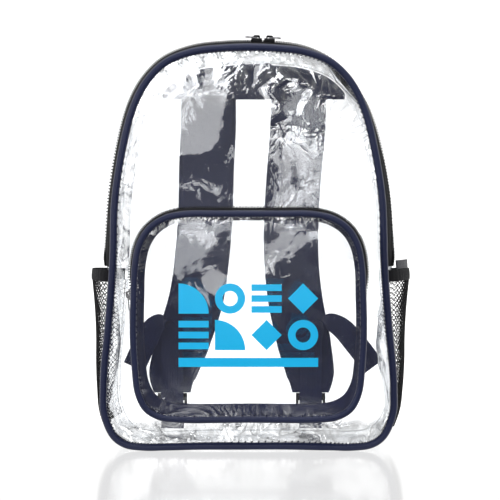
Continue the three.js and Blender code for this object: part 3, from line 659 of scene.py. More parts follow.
def cloth_look(name, colour, low, high, pitch, roughness, sheen, depth, coat):
    """Cloth whose threads pass over and under one another, a little uneven, puckered and worn."""
    finish = Finish(name)
    uv = finish.node("ShaderNodeUVMap", {"uv_map": "Cloth"}).outputs["UV"]
    along, across, _ = finish.split(uv)
    turns = 2 * math.pi / pitch
    threads = (along * turns).sine() * (across * turns).sine() * 0.5 + 0.5
    cloud = finish.noise(38, 4, 0.6)
    fuzz = finish.noise(1400, 2, 0.6)
    worn = finish.noise(9, 3, 0.5).between(0.35, 0.75)
    mixed = threads * 0.35 + cloud * 0.35 + fuzz * 0.15 + worn * 0.15
    puckers = finish.bumped(finish.noise(120, 3, 0.55), 0.0006)
    return finish.close({
        "Base Color": finish.blend(mixed, *shades(colour, low, high)),
        "Roughness": cloud * 0.12 + (roughness - 0.06),
        "Normal": finish.bumped(threads + fuzz * 0.3, depth, puckers),
        "Specular IOR Level": 0.12, "Sheen Weight": sheen, "Sheen Roughness": 0.4,
        "Coat Weight": coat, "Coat Roughness": 0.3,
    })


def plastic_look(looks):
    finish = Finish("black_plastic")
    grain = finish.noise(900, 3, 0.5)
    cloud = finish.noise(60, 3, 0.5)
    return finish.close({
        "Base Color": finish.blend(cloud, *shades(looks.black, 0.8, 1.6)),
        "Roughness": grain * 0.15 + 0.32,
        "Specular IOR Level": 0.2,
        "Normal": finish.bumped(grain, 0.00002),
    })


def metal_look(looks):
    finish = Finish("silver_metal")
    brushed = finish.noise(500, 4, 0.6, stretch=(1, 1, 8))
    worn = finish.noise(160, 3, 0.5).between(0.5, 0.8)
    return finish.close({
        "Base Color": finish.blend(worn, *shades(looks.metal, 1, 0.75)),
        "Metallic": 1.0,
        "Roughness": brushed * 0.15 + worn * 0.12 + 0.16,
        "Normal": finish.bumped(brushed, 0.00001),
    })


def ink_look(looks):
    finish = Finish("print_ink")
    cloud = finish.noise(45, 4, 0.6)
    grain = finish.noise(1100, 2, 0.5)
    return finish.close({
        "Base Color": finish.blend(cloud * 0.6 + grain * 0.4, *shades(looks.ink, 0.92, 1.08)),
        "Roughness": grain * 0.1 + 0.3,
        "Normal": finish.bumped(grain, 0.00001),
    })


# Cloth: colour, its dark and light shades, pitch of the threads, roughness, sheen, thread depth, coat.
CLOTHS = {
    "navy_cloth": ("navy", 0.75, 1.35, 0.0009, 0.72, 0.04, 0.00012, 0),
    "navy_binding": ("binding", 0.8, 1.3, 0.0007, 0.38, 0.03, 0.00006, 0.35),
    "black_tape": ("black", 0.7, 1.5, 0.0008, 0.7, 0.02, 0.0001, 0),
    "black_net": ("black", 0.8, 1.5, 0.0006, 0.65, 0.02, 0.00005, 0),
    "grey_tab": ("tab", 0.8, 1.3, 0.0009, 0.6, 0.1, 0.0001, 0),
    "seam_thread": ("navy", 0.4, 0.9, 0.0005, 0.6, 0.1, 0.00003, 0),
}
LOOK_MAKERS = {
    "clear_vinyl": lambda looks: vinyl_look("clear_vinyl", looks.crease_depth, 0.006),
    "binding_vinyl": lambda looks: vinyl_look("binding_vinyl", 0.0004, 0.03),
    "black_plastic": plastic_look,
    "silver_metal": metal_look,
    "print_ink": ink_look,
}


# Sizes and colours


def length(name, description, default):
    return FloatProperty(name=name, description=description, default=default, unit="LENGTH")


def colour(name, description, default):
    return FloatVectorProperty(name=name, description=description, default=default, subtype="COLOR")


class BackpackSizes(bpy.types.PropertyGroup):
    """Sizes of the bag, its pocket and its soft folds."""

    bag_width: length("Bag width", "Width of the bound front seam", 0.304)
    bag_height: length("Bag height", "Height of the bound front seam", 0.415)
    bag_depth: length("Bag depth", "Distance between the two seams", 0.13)
    rear_shift: length("Lean", "How far the back stands to the right", 0.005)
    pocket_width: length("Pocket width", "Width of the pocket's seam", 0.229)
    pocket_height: length("Pocket height", "Height of the pocket's seam", 0.204)
    pocket_depth: length("Pocket depth", "How far the pocket stands out", 0.038)
    pocket_lift: length("Pocket lift", "Height of the pocket's lower seam", 0.0368)
    crumple: length("Crumple", "Depth of the vinyl's soft waves", 0.0007)
    net_cell: length("Net cell", "Pitch of the net's open cells", 0.0055)
    stitch: length("Stitch", "Length of one seam stitch with its gap", 0.0046)
    teeth_pitch: length("Teeth pitch", "Distance between the zip's teeth", 0.0022)
    strap_width: length("Strap width", "Width of the padded straps", 0.062)
    strap_thickness: length("Strap thickness", "Thickness of the straps' padding", 0.01)
    webbing_width: length("Webbing width", "Width of the lower webbing", 0.025)
    webbing_ribs: IntProperty(name="Webbing ribs", description="Ribs across the webbing", default=9, min=3)


class BackpackLooks(bpy.types.PropertyGroup):
    """Colours and finishes of the bag's materials."""

    navy: colour("Navy cloth", "Straps, yoke and pocket walls", (0.03, 0.033, 0.075))
    binding: colour("Navy binding", "Bound seams", (0.017, 0.022, 0.06))
    black: colour("Black", "Zips, nets and plastic", (0.012, 0.012, 0.014))
    tab: colour("Grey tab", "The tab at the right net pocket", (0.07, 0.07, 0.078))
    metal: colour("Metal", "Sliders and pulls", (0.45, 0.45, 0.47))
    ink: colour("Ink", "The print on the pocket", (0.0, 0.53, 1.0))
    crease_depth: length("Crease depth", "Depth of the vinyl's finer creases", 0.0016)


# Operators


# Softboxes: name, place, size, brightness and roll. The fill lights the bag without being mirrored in it.
LIGHTS = (
    ("left_softbox", (-0.195, -2.0, 0.64), (0.24, 0.56), 5.4, -0.12),
    ("low_softbox", (-0.14, -2.0, 0.2), (0.08, 0.16), 5.0, -0.5),
    ("right_softbox", (0.075, -2.0, 0.38), (0.07, 0.26), 4.6, -0.3),
    ("far_softbox", (0.15, -2.0, 0.36), (0.045, 0.28), 4.6, -0.75),
    ("fill", (0.2, -2.3, 0.9), (1.6, 1.2), 3.1, 0.0),
    ("side_softbox", (-1.3, -1.2, 0.7), (0.5, 1.0), 4.0, 0.0),
    ("top_softbox", (0.1, -0.5, 1.7), (1.3, 1.0), 2.4, 0.0),
)


class BACKPACK_OT_stage(bpy.types.Operator):
    """Add the floor, the light and the camera"""

    bl_idname = "backpack.stage"
    bl_label = "Stage"

    def execute(self, context):
        scene = context.scene
        scene.view_settings.view_transform = "Standard"
        scene.cycles.transparent_max_bounces = 32
        self.add_camera(scene)
        self.add_floor(scene)
        self.add_world(scene)
        for light in LIGHTS:
            self.add_light(scene, *light)
        return {"FINISHED"}

    def add_camera(self, scene):
        data = bpy.data.cameras.new("camera")
        camera = bpy.data.objects.new("camera", data)
        scene.collection.objects.link(camera)
        camera.location = (0.005, -1.562, 0.209)
        camera.rotation_euler = (math.pi / 2, 0, 0)
        data.sensor_width = 36
        data.lens = 105.5
        data.shift_x = -0.0118
        data.shift_y = -0.0078
        scene.camera = camera

    def add_floor(self, scene):
        bm = bmesh.new()
        bmesh.ops.create_grid(bm, x_segments=1, y_segments=1, size=20)
        mesh = bpy.data.meshes.new("floor")
        bm.to_mesh(mesh)
        bm.free()
        floor = bpy.data.objects.new("floor", mesh)
        scene.collection.objects.link(floor)
        finish = Finish("floor")
        away = finish.split(finish.place())[1]
        seen = finish.seen()
        glow = (away.between(0.1, 0.25) * 0.75 + 1.02) * (seen + (1 - seen) * away.between(-0.25, 0.05))
        white = finish.node("ShaderNodeEmission", None, {"Color": (1, 1, 1, 1), "Strength": glow})
        gloss = finish.node("ShaderNodeBsdfGlossy", None, {"Color": (1, 1, 1, 1), "Roughness": 0.12})
        surface = finish.mixed(0.27, white, gloss)
        finish.node("ShaderNodeOutputMaterial", None, {"Surface": surface.outputs[0]})
        mesh.materials.append(finish.owner)

    def add_world(self, scene):
        """White behind the bag, dim in front of it, where the vinyl mirrors it."""
        finish = Finish("studio", bpy.data.worlds)
        scene.world = finish.owner
        away = finish.split(finish.node("ShaderNodeTexCoord").outputs["Generated"])[1]
        strength = (away.between(-0.5, 0.2) * 0.8 + 0.3).at_least(finish.seen() * 1.25)
        values = {"Color": (1, 1, 1, 1), "Strength": strength}
        background = finish.node("ShaderNodeBackground", None, values)
        finish.node("ShaderNodeOutputWorld", None, {"Surface": background.outputs[0]})

    def add_light(self, scene, name, place, size, brightness, roll):
        data = bpy.data.lights.new(name, "AREA")
        data.shape = "RECTANGLE"
        data.size, data.size_y = size
        data.energy = brightness * math.pi * size[0] * size[1]
        light = bpy.data.objects.new(name, data)
        scene.collection.objects.link(light)
        light.location = place
        aim = Vector((0, 0, 0.22)) - Vector(place)
        turn = Quaternion((0, 0, 1), roll)
        light.rotation_euler = (aim.to_track_quat("-Z", "Y") @ turn).to_euler()
        light.visible_camera = False
        light.visible_glossy = name != "fill"


class BACKPACK_OT_vinyl(bpy.types.Operator):
    """Add the clear panels and walls"""

    bl_idname = "backpack.vinyl"
    bl_label = "Vinyl panels and walls"

    def execute(self, context):
        shape = bag_shape(context)
        self.add_panels(shape)
        self.add_walls(shape)
        return {"FINISHED"}

    def add_panels(self, shape):
        def front(x, z, rim):
            place = Vector((x, 0, z))
            right_top = smoothstep(x, -0.004, 0.025) * smoothstep(z, 0.315, 0.345)
            left_top = 0.35 * smoothstep(z, 0.365, 0.395)
            wave = wrinkle(place, 0.085, 3.1) * 0.55 + wrinkle(place, 0.04, 5.7) * 0.14
            fold = crease(place, 0.034, 8.2, (1, 1, 1.35)) * 1.8 * max(right_top, left_top)
            foot = 1 - smoothstep(z, 0.03, 0.06)
            foot_fold = crease(place, 0.026, 2.4, (0.6, 1, 1.3)) * 4.2
            foot_fold += wrinkle(place, 0.013, 9.9, (0.7, 1, 1))
            depth = (wave + fold + foot_fold * foot) * shape.crumple
            return shape.front_face(x, z) - depth * rim

        def front_crumple(u, v):
            rim = 1 - clamp(min(u, 1 - u, v, 1 - v) * 9)
            right_top = smoothstep(u, 0.45, 0.6) * smoothstep(v, 0.77, 0.86)
            left_top = 0.35 * smoothstep(v, 0.87, 0.96)
            foot = 1 - smoothstep(v, 0.05, 0.12)
            return clamp(0.04 + 0.35 * rim + max(0.42 * right_top, left_top) + foot)

        size = (shape.width, shape.height)
        bm = panel_sheet(shape.front, front, 0.002, 7 / 60, (150, 190), front_crumple, size)
        add_piece("front_vinyl", bm, "clear_vinyl", "front_panel", bag_middle(shape), VINYL * 0.6)

        def back(x, z, rim):
            place = Vector((x, 0.2, z))
            wave = wrinkle(place, 0.09, 13.1) * 1.3 + crease(place, 0.05, 4.4) * 0.4
            return shape.rear_face(x, z) - VINYL + wave * shape.crumple * rim * 0.6

        bm = panel_sheet(shape.rear, back, 0.0012, 7 / 60, (60, 76), lambda u, v: 0.08, size)
        add_piece("back_vinyl", bm, "clear_vinyl", "back_panel", bag_middle(shape), VINYL * 0.6)

    def add_walls(self, shape):
        tape_end = TAPE / shape.wall_depth
        length = shape.front.length(shape.zip_first, 1 - shape.zip_first)

        def soft(t, share):
            point = shape.wall_point(t, share)
            out = shape.front.out(t)
            depth = wrinkle(point, 0.06, 6.6) * 1.4 + crease(point, 0.028, 9.1) * 2.2
            depth += wrinkle(point, 0.013, 7.3) * 0.7
            base = 1 - smoothstep(point.z, 0.01, 0.05)
            depth += base * (crease(point, 0.045, 5.2, (0.6, 1, 1)) * 4 - 1)
            limit = mix(0.0024, 0.0045, base)
            point -= out * clamp(depth * shape.crumple * arch(clamp(share)) ** 0.5, -0.001, limit)
            point.z = max(point.z, 0.0002)
            return point

        def upper(u, v):
            return soft(mix(shape.zip_first, 1 - shape.zip_first, u), mix(tape_end - 0.01, 1.012, v))

        size = (length, shape.wall_depth - TAPE)
        bm = grid_sheet(260, 34, upper, size, extra=lambda u, v: 0.6 + 0.35 * smoothstep(u, 0.5, 0.7))
        add_piece("upper_wall_vinyl", bm, "clear_vinyl", "upper_wall", bag_middle(shape), VINYL * 0.6)

        def lower(u, v):
            return soft(mix(-shape.zip_first, shape.zip_first, u), mix(-0.02, 1.012, v))

        size = (shape.front.length(-shape.zip_first, shape.zip_first), shape.wall_depth)
        bm = grid_sheet(260, 44, lower, size, extra=lambda u, v: 0.8)
        add_piece("lower_wall_vinyl", bm, "clear_vinyl", "lower_wall", bag_middle(shape), VINYL * 0.6)


class BACKPACK_OT_bindings(bpy.types.Operator):
    """Add the bound seams and their stitches"""

    bl_idname = "backpack.bindings"
    bl_label = "Bound seams"

    def execute(self, context):
        shape = bag_shape(context)
        sizes = context.scene.backpack_sizes
        self.add_binding(shape.front, BINDING, "front_binding", "front_piping", sizes.stitch)
        self.add_binding(shape.pocket_front, POCKET_BINDING, "pocket_binding", "pocket_piping", sizes.stitch)
        length = shape.rear.length()

        def circle(angle, around):
            return REAR_BINDING * math.cos(angle), -REAR_BINDING * math.sin(angle)

        bm = tube_round(shape.rear, circle, 12, 240, (length, REAR_BINDING * 6))
        add_piece("rear_binding_vinyl", bm, "clear_vinyl", "rear_binding", material="binding_vinyl")
        return {"FINISHED"}

    def add_binding(self, seam, radius, name, node, pitch):
        length = seam.length()

        def lumpy(angle, around):
            """A folded tape round a cord: round outside, with the tape's hem a little proud inside."""
            out, across = math.cos(angle), math.sin(angle)
            hem = bump((abs(angle - math.pi) - 0.9) / 0.12)
            section = radius * (1 - 0.1 * clamp(-out)) * (1 + 0.05 * hem)
            place = seam.point(around)
            swell = 1 + 0.05 * wrinkle(place, 0.03, 1.5) + 0.02 * wrinkle(place, 0.009, 4.5)
            return out * section * swell, -across * section * swell

        bm = tube_round(seam, lumpy, 20, 420, (length, radius * 6.3))
        add_piece(name, bm, "navy_binding", node)
        bm = bmesh.new()
        count = round(length / pitch)
        for side in (-1, 1):
            places = []
            for i in range(count):
                t = (i + 0.5) / count
                out = seam.out(t)
                along = out.cross(Vector((0, 1, 0)))
                slant = (along * 0.86 - out * 0.5).normalized()
                inset = radius * (0.92 + 0.4 * wrinkle(seam.point(t), 0.1, 3.3))
                middle = seam.point(t) - out * inset + Vector((0, side * radius * 0.42, 0))
                places.append((middle, slant, Vector((0, side, 0)) - out))
            add_stitches(bm, places, pitch * 0.6, 0.0011)
        add_piece(name + "_stitches", bm, "navy_binding", material="seam_thread")


class BACKPACK_OT_zips(bpy.types.Operator):
    """Add the zips' tapes and teeth"""

    bl_idname = "backpack.zips"
    bl_label = "Zip tapes and teeth"

    def execute(self, context):
        shape = bag_shape(context)
        pitch = context.scene.backpack_sizes.teeth_pitch
        self.add_zip(
            "main", shape.wall_point, shape.front, shape.zip_first, TAPE, shape.wall_depth, pitch, 300)
        self.add_zip(
            "pocket", shape.pocket_wall_point, shape.pocket_front, shape.pocket_zip_first,
            POCKET_TAPE, shape.pocket_wall_depth, pitch, 220)
        return {"FINISHED"}

    def add_zip(self, name, point_of, seam, first, width, depth, pitch, steps):
        end = width / depth
        length = seam.length(first, 1 - first)
        last = 1 - first

        def tape(u, v):
            t = mix(first, last, u)
            ridge = 0.0004 * (bump((v - 0.5) / 0.18) - bump((v - 0.5) / 0.03))
            return point_of(t, mix(-0.03, end, v)) + seam.out(t) * ridge

        bm = grid_sheet(steps, 14, tape, (length, width))
        middle = ORIGIN + Vector((0, 0.01, 0.2))
        add_piece(name + "_tape", bm, "black_tape", name + "_zip_tape", middle, 0.001)

        bm = bmesh.new()
        count = round(length / pitch)
        middle_share = end / 2
        for i in range(count):
            t = mix(first, last, (i + 0.5) / count)
            out = seam.out(t)
            along = (point_of(t + 0.002, middle_share) - point_of(t - 0.002, middle_share)).normalized()
            side = 1 if i % 2 else -1
            share = middle_share + side * TEETH_WIDTH * 0.14 / depth
            middle = point_of(t, share) + out * (GAP + TEETH_HEIGHT * 0.5)
            add_block(bm, middle, along, out, (pitch * 0.62, TEETH_WIDTH * 0.68, TEETH_HEIGHT))
        bmesh.ops.bevel(
            bm, geom=[edge for edge in bm.edges], offset=0.00022, offset_type="OFFSET", affect="EDGES",
            segments=1, profile=0.5, material=-1, clamp_overlap=True)
        add_piece(name + "_teeth", bm, "black_plastic", name + "_zip_teeth", smooth=False)


class BACKPACK_OT_pocket(bpy.types.Operator):
    """Add the front pocket's panel and cloth walls"""

    bl_idname = "backpack.pocket"
    bl_label = "Front pocket"

    def execute(self, context):
        shape = bag_shape(context)
        size = (shape.pocket_width, shape.pocket_height)

        def face(x, z, rim):
            place = Vector((x, 0.4, z))
            wave = wrinkle(place, 0.08, 21.4) * 0.5 + wrinkle(place, 0.035, 7.7) * 0.3
            return shape.pocket_face(x, z) - wave * shape.crumple * rim * 0.8

        def crumple(u, v):
            return clamp(0.08 + 0.5 * (1 - clamp(min(u, 1 - u, v, 1 - v) * 8)))

        bm = panel_sheet(shape.pocket_front, face, 0.0018, 6 / 48, (64, 60), crumple, size)
        add_piece("pocket_vinyl", bm, "clear_vinyl", "pocket_panel", bag_middle(shape), VINYL * 0.6)

        tape_end = POCKET_TAPE / shape.pocket_wall_depth
        first = shape.pocket_zip_first
        self.add_wall(shape, "pocket_upper", first, 1 - first, tape_end - 0.03, 200, 8)
        self.add_wall(shape, "pocket_lower", -first, first, -0.05, 220, 14)
        return {"FINISHED"}

    def add_wall(self, shape, name, start, stop, low, steps, across):
        seam = shape.pocket_front

        def cloth(u, v):
            t = mix(start, stop, u)
            share = mix(low, 1.0, v)
            point = shape.pocket_wall_point(t, share)
            sag = 0.0008 * wrinkle(point, 0.03, 3.3) + 0.0005 * wrinkle(point, 0.012, 1.3)
            return point + seam.out(t) * sag * arch(clamp(share))

        size = (seam.length(start, stop), shape.pocket_wall_depth * (1 - low))
        bm = grid_sheet(steps, across, cloth, size)
        middle = ORIGIN + Vector((0, -0.02, 0.14))
        add_piece(name + "_cloth", bm, "navy_cloth", name + "_wall", middle, 0.0012)


class BACKPACK_OT_print(bpy.types.Operator):
    """Add the print on the pocket: plain tiles, rings and bars"""

    bl_idname = "backpack.print"
    bl_label = "Pocket print"

    def execute(self, context):
        shape = bag_shape(context)
        bm = bmesh.new()
        tile, space = 0.03, 0.0062
        middle_x, top = 0.0, 0.172
        first_x = middle_x - 1.5 * (tile + space)
        makers = [
            self.quarter, self.ring, self.bars, self.diamond,
            self.bars, self.quarter, self.diamond, self.ring,
        ]
        for index, maker in enumerate(makers):
            column, row = index % 4, index // 4
            x = first_x + column * (tile + space)
            z = top - tile / 2 - row * (tile + space)
            maker(bm, Vector((x, 0, z)), tile)
        low = top - 2 * tile - 2 * space
        self.block(bm, Vector((middle_x, 0, low - 0.006)), (4 * tile + 3 * space, 0.009))
        bmesh.ops.triangulate(bm, faces=bm.faces)
        edges = [edge for edge in bm.edges if edge.calc_length() > 0.006]
        bmesh.ops.subdivide_edges(bm, edges=edges, cuts=3, use_grid_fill=True)
        for vert in bm.verts:
            x, z = vert.co.x, vert.co.z
            vert.co = Vector((x, shape.pocket_face(x, z) - 0.0012, z)) + ORIGIN
        add_piece("pocket_print", bm, "print_ink", None, bag_middle(shape), 0.0002, smooth=False)
        return {"FINISHED"}

    def place(self, bm, verts, middle):
        for vert in verts:
            vert.co = Vector((vert.co.x + middle.x, 0, vert.co.y + middle.z))

    def block(self, bm, middle, size):
        made = bmesh.ops.create_grid(bm, x_segments=8, y_segments=2, size=0.5)
        for vert in made["verts"]:
            vert.co = Vector((vert.co.x * size[0], vert.co.y * size[1], 0))
        self.place(bm, made["verts"], middle)

    def quarter(self, bm, middle, tile):
        corner = middle + Vector((-tile / 2, 0, -tile / 2))
        made = bmesh.ops.create_circle(bm, cap_ends=False, radius=tile, segments=64)
        keep = [v for v in made["verts"] if v.co.x > -1e-5 and v.co.y > -1e-5]
        drop = [v for v in made["verts"] if v not in keep]
        bmesh.ops.delete(bm, geom=drop, context="VERTS")
        centre = bm.verts.new((0, 0, 0))
        keep.sort(key=lambda v: math.atan2(v.co.y, v.co.x))
        bm.faces.new([centre, *keep])
        self.place(bm, [centre, *keep], corner)

    def ring(self, bm, middle, tile):
        outer = bmesh.ops.create_circle(bm, cap_ends=False, radius=tile / 2, segments=40)["verts"]
        inner = bmesh.ops.create_circle(bm, cap_ends=False, radius=tile / 4, segments=40)["verts"]
        edges = {edge for vert in [*outer, *inner] for edge in vert.link_edges}
        bmesh.ops.bridge_loops(bm, edges=list(edges))
        self.place(bm, [*outer, *inner], middle)

    def bars(self, bm, middle, tile):
        for step in (-1, 0, 1):
            self.block(bm, middle + Vector((0, 0, step * tile * 0.36)), (tile, tile * 0.22))

    def diamond(self, bm, middle, tile):
        made = bmesh.ops.create_circle(bm, cap_ends=True, radius=tile / 2, segments=4)
        self.place(bm, made["verts"], middle)


class BACKPACK_OT_sliders(bpy.types.Operator):
    """Add the zips' sliders and pulls"""

    bl_idname = "backpack.sliders"
    bl_label = "Sliders and pulls"

    def execute(self, context):
        dark = "black_plastic"
        for name, material in (("main_left", dark), ("main_right", dark), ("pocket", None)):
            slider, pull = name + "_slider", name + "_pull"
            bevelled_copy(slider, slider + "_metal", 0.00035, "silver_metal", material)
            bevelled_copy(pull, pull + "_metal", 0.0003, "silver_metal", body=name + "_zip_pull")
        return {"FINISHED"}


class BACKPACK_OT_nets(bpy.types.Operator):
    """Add the side net pockets, their hems and the tab"""

    bl_idname = "backpack.nets"
    bl_label = "Net side pockets"

    def execute(self, context):
        shape = bag_shape(context)
        cell = context.scene.backpack_sizes.net_cell
        for side, name in ((-1, "left"), (1, "right")):
            self.add_net(shape, side, name, cell)
            self.add_hem(shape, side, name)
        self.add_tab(shape)
        return {"FINISHED"}

    def add_net(self, shape, side, name, cell):
        low, high = NET_BOTTOM, NET_TOP + 0.001
        depth = shape.wall_depth
        flat = (depth * 1.08, high - low)

        def mesh_point(u, v):
            return shape.net_point(side, mix(low, high, v), u, lift=-0.0006)

        bm = grid_sheet(round(flat[0] / (1.5 * cell)), round(flat[1] / cell), mesh_point, (depth, flat[1]))
        face_outwards(bm, bag_middle(shape))
        bmesh.ops.poke(bm, faces=bm.faces)
        straight = [edge for edge in bm.edges if len(edge.link_faces) == 2 and self.joins_corners(edge)]
        bmesh.ops.dissolve_edges(bm, edges=straight, use_verts=False)
        bmesh.ops.wireframe(
            bm, faces=bm.faces, thickness=NET_THREAD, offset=0, use_replace=True, use_boundary=True,
            use_even_offset=False)
        whole = flat[0] * flat[1]
        threads = clamp(sum(face.calc_area() for face in bm.faces) / 2, 0.31 * whole, whole)
        piece = add_piece(f"{name}_net", bm, "black_net", f"side_net_{name}")

    @staticmethod
    def joins_corners(edge):
        """Tells an edge between two squares from one that leads to the middle of a square."""
        return all(len(vert.link_edges) != 4 for vert in edge.verts)

    def add_hem(self, shape, side, name):
        def band(u, v):
            base = shape.net_point(side, NET_TOP, u)
            t = shape.front.at_height(NET_TOP)
            out = shape.front.out(t if side > 0 else 1 - t)
            up = Vector((-side * out.z, 0, side * out.x))
            ripple = 0.0003 * math.sin(u * 150) + 0.0004 * arch(v)
            return base + up * (GAP + HEM_HEIGHT * v) + out * (0.0004 + ripple)

        bm = grid_sheet(90, 10, band, (shape.wall_depth * 1.1, HEM_HEIGHT))
        piece = add_piece(f"{name}_hem", bm, "black_tape", f"side_hem_{name}", bag_middle(shape), 0.002)
        add_modifier(piece, "BEVEL", width=0.0004, segments=2)

    def add_tab(self, shape):
        out = shape.front.out(shape.front.at_height(NET_TOP))
        up = Vector((-out.z, 0, out.x))

        def tab(u, v):
            base = shape.net_point(1, NET_TOP, mix(0.06, 0.34, u))
            return base + up * (HEM_HEIGHT + 0.0006 + 0.009 * v)

        bm = grid_sheet(16, 6, tab, (0.04, 0.009))
        add_piece("grey_tab", bm, "grey_tab", "hem_tab", bag_middle(shape), 0.0012)


def seam_height_at(shape, x):
    low, high = 0.25, 0.75
    for i in range(200):
        right, left = (shape.rear.point(mix(low, high, n / 200)) for n in (i, i + 1))
        if left.x <= x <= right.x:
            return mix(left.z, right.z, (x - left.x) / max(1e-9, right.x - left.x))
    return YOKE_BOTTOM


def seam_half_width_at(shape, z):
    for i in range(200):
        low, high = shape.rear.point(0.2 + 0.3 * i / 200), shape.rear.point(0.2 + 0.3 * (i + 1) / 200)
        if low.z <= z <= high.z:
            return mix(low.x, high.x, (z - low.z) / max(1e-9, high.z - low.z)) - shape.shift
    return shape.width / 2


def band_sheet(points, widthways, width, across, steps, section):
    """A flat band along a path, section giving how far each part of its width stands off."""
    path = Curve(points)
    count = len(points) - 1
    frames = []
    for i in range(steps + 1):
        t = i / steps
        along = path.along(t)
        low = min(count - 1, math.floor(t * count))
        side = widthways[low].lerp(widthways[low + 1], t * count - low)
        side = (side - along * side.dot(along)).normalized()
        frames.append((path.point(t), side, side.cross(along).normalized()))
    length = sum((b[0] - a[0]).length for a, b in zip(frames, frames[1:]))

    def point_at(u, v):
        middle, side, away = frames[round(v * steps)]
        return middle + side * (u - 0.5) * width + away * section(u, v)

    return grid_sheet(across, steps, point_at, (width, length))


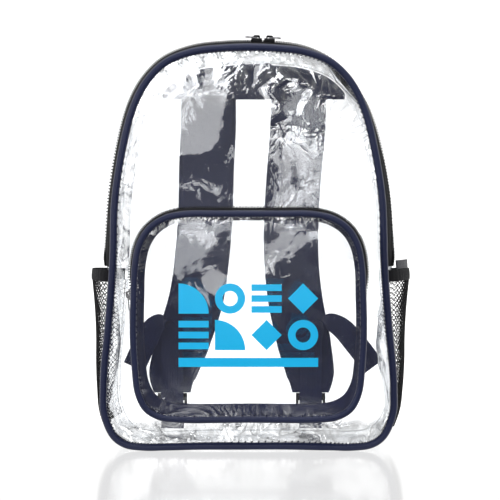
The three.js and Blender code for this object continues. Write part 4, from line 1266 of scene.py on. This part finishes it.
class BACKPACK_OT_back(bpy.types.Operator):
    """Add the yoke, straps, locks, webbing and haul loop"""

    bl_idname = "backpack.back"
    bl_label = "Yoke, straps and webbing"

    def execute(self, context):
        shape = bag_shape(context)
        sizes = context.scene.backpack_sizes
        self.add_yoke(shape)
        for side, name, table in ((-1, "left", LEFT_STRAP), (1, "right", RIGHT_STRAP)):
            self.add_strap(shape, sizes, side, name, table)
            self.add_webbing(shape, sizes, side, name, table)
            bevelled_copy(f"lock_{name}", f"{name}_lock", 0.0005, "black_plastic", segments=3)
        self.add_haul_loop(shape)
        return {"FINISHED"}

    def add_yoke(self, shape):
        inset = REAR_BINDING + GAP
        half = seam_half_width_at(shape, YOKE_BOTTOM) - 2 * inset

        def cloth(u, v):
            x = shape.shift + mix(-half, half, u)
            edge = max(seam_height_at(shape, x) - 0.5 * inset, YOKE_BOTTOM + inset)
            z = mix(YOKE_BOTTOM, edge, v)
            pucker = 0.0004 * wrinkle(Vector((x, 0, z)), 0.012, 2.2)
            return Vector((x, shape.rear_face(x, z) + GAP + YOKE_WALL + pucker, z))

        bm = grid_sheet(80, 20, cloth, (2 * half, 0.035))
        add_piece("yoke_cloth", bm, "navy_cloth", "yoke", bag_middle(shape), YOKE_WALL)

    def strap_middle(self, shape, sizes, side, row):
        """The place on a strap's middle line that a row of its table gives."""
        up, out, stand_off = row[:3]
        x = shape.shift + side * out * shape.width / 2
        z = up * shape.height
        seat = YOKE_WALL + 2 * GAP + RIGHT_STRAP[0][4] * sizes.strap_thickness / 2
        return Vector((x, shape.rear_face(x, z) + seat + stand_off * STRAP_STAND_OFF, z))

    def add_strap(self, shape, sizes, side, name, table):
        path = Curve([self.strap_middle(shape, sizes, side, row) for row in table])
        count = len(table) - 1

        def strap(u, v):
            t = clamp(v)
            low = min(count - 1, math.floor(t * count))
            share = t * count - low
            half = sizes.strap_width / 2 * mix(table[low][3], table[low + 1][3], share)
            thick = sizes.strap_thickness / 2 * mix(table[low][4], table[low + 1][4], share)
            along = path.along(t)
            across = (Vector((1, 0, 0)) - along * along.x).normalized()
            away = across.cross(along).normalized()
            angle = 2 * math.pi * u
            c, s = math.cos(angle), math.sin(angle)
            flat = math.copysign(abs(c) ** 0.35, c)
            rise = math.copysign(abs(s) ** 0.55, s)
            rim = bump((abs(flat) - 0.9) / 0.035)
            full = rise * (1 - 0.28 * rim + 0.02 * math.sin(v * 40))
            point = path.point(t) + across * flat * half + away * full * thick
            return point + away * 0.0005 * wrinkle(point, 0.02, 3.9)

        length = sum((path.point((i + 1) / 60) - path.point(i / 60)).length for i in range(60))
        bm = grid_sheet(56, 120, strap, (2 * sizes.strap_width, length), weld=True)
        rims = [edge for edge in bm.edges if edge.is_boundary]
        bmesh.ops.holes_fill(bm, edges=rims, sides=0)
        face_outwards(bm)
        piece = add_piece(f"{name}_strap", bm, "navy_cloth", f"strap_{name}")

    def add_webbing(self, shape, sizes, side, name, table):
        lock = self.strap_middle(shape, sizes, side, table[-1]) - Vector((0, 0, LOCK_DROP))
        width = sizes.webbing_width
        seam_x = side * (shape.width / 2 - BINDING - REAR_BINDING - width / 2) + shape.shift
        points, widthways = [], []
        for to_seam, rise, stand_off, x, y, z in WEBBING_ROUTE:
            height = lock.z + rise * shape.height
            across = mix(lock.x, seam_x, to_seam)
            face = shape.rear_face(across, height) + GAP + WEBBING_WALL / 2
            points.append(Vector((across, face + stand_off * WEBBING_STAND_OFF, height)))
            widthways.append(Vector((side * x, y, z)))
        through = 0.0012 + WEBBING_WALL
        tail = min(lock.z - width / 6, shape.height / 12)
        for y, z in (
            (-1.9 * through, 0.011), (-1.2 * through, 0.002), (1.2 * through, -0.002),
            (1.9 * through, -0.011), (1.9 * through, -tail),
        ):
            points.append(lock + Vector((0, y, z)))
            widthways.append(Vector((side, 0, 0)))
        ribs = sizes.webbing_ribs

        def section(u, v):
            return 0.00016 * math.cos(2 * math.pi * u * ribs)

        bm = band_sheet(points, widthways, width, ribs * 4, 150, section)
        self.add_band(f"{name}_webbing", bm, f"webbing_{name}", WEBBING_WALL)

    def add_haul_loop(self, shape):
        foot = RIGHT_STRAP[0][0] * shape.height + 0.006

        def back(z, stand_off):
            return shape.rear_face(shape.shift, z) + GAP + YOKE_WALL + GAP + 0.001 + stand_off

        points = []
        for side in (-1, 1):
            run = [
                Vector((shape.shift + side * 0.017, back(foot, 0), foot)),
                Vector((shape.shift + side * 0.017, back(foot, 0.00595), foot + 0.0126)),
                Vector((shape.shift + side * 0.01462, back(foot, 0.01445), foot + 0.0252)),
            ]
            if side > 0:
                run.reverse()
                points.append(Vector((shape.shift, back(foot, 0.017), foot + 0.03)))
            points.extend(run)
        widthways = [Vector((x, y, 0)) for x, y in (
            (1, 0), (1, 0), (0.55, 0.8), (0, 1), (-0.55, 0.8), (-1, 0), (-1, 0))]

        def section(u, v):
            return 0.0002 * math.cos(2 * math.pi * u * 7)

        bm = band_sheet(points, widthways, 0.018, 28, 80, section)
        self.add_band("haul_loop_webbing", bm, "haul_loop", 0.002)

    def add_band(self, name, bm, node, wall):
        """Adds a webbing whose path runs through the middle of its wall."""
        piece = add_piece(name, bm, "navy_cloth", node, wall=wall)
        piece.modifiers["Solidify"].offset = 0


class BACKPACK_PT_panel(bpy.types.Panel):
    """Sizes, colours and pieces of the backpack"""

    bl_idname = "BACKPACK_PT_panel"
    bl_label = "Clear backpack"
    bl_space_type = "VIEW_3D"
    bl_region_type = "UI"
    bl_category = "Backpack"

    def draw(self, context):
        layout = self.layout
        for group in (context.scene.backpack_sizes, context.scene.backpack_looks):
            column = layout.column(align=True)
            for key in group.__annotations__:
                column.prop(group, key)
        for operator in OPERATORS:
            layout.operator(operator.bl_idname)


OPERATORS = (
    BACKPACK_OT_stage, BACKPACK_OT_vinyl, BACKPACK_OT_bindings, BACKPACK_OT_zips, BACKPACK_OT_pocket,
    BACKPACK_OT_print, BACKPACK_OT_sliders, BACKPACK_OT_nets, BACKPACK_OT_back,
)
CLASSES = (BackpackSizes, BackpackLooks, *OPERATORS, BACKPACK_PT_panel)


def register():
    for cls in CLASSES:
        bpy.utils.register_class(cls)
    bpy.types.Scene.backpack_sizes = PointerProperty(type=BackpackSizes)
    bpy.types.Scene.backpack_looks = PointerProperty(type=BackpackLooks)


def unregister():
    del bpy.types.Scene.backpack_looks
    del bpy.types.Scene.backpack_sizes
    for cls in reversed(CLASSES):
        bpy.utils.unregister_class(cls)


def main():
    register()
    for operator in OPERATORS:
        group, action = operator.bl_idname.split(".")
        getattr(getattr(bpy.ops, group), action)()


if __name__ == "__main__":
    main()
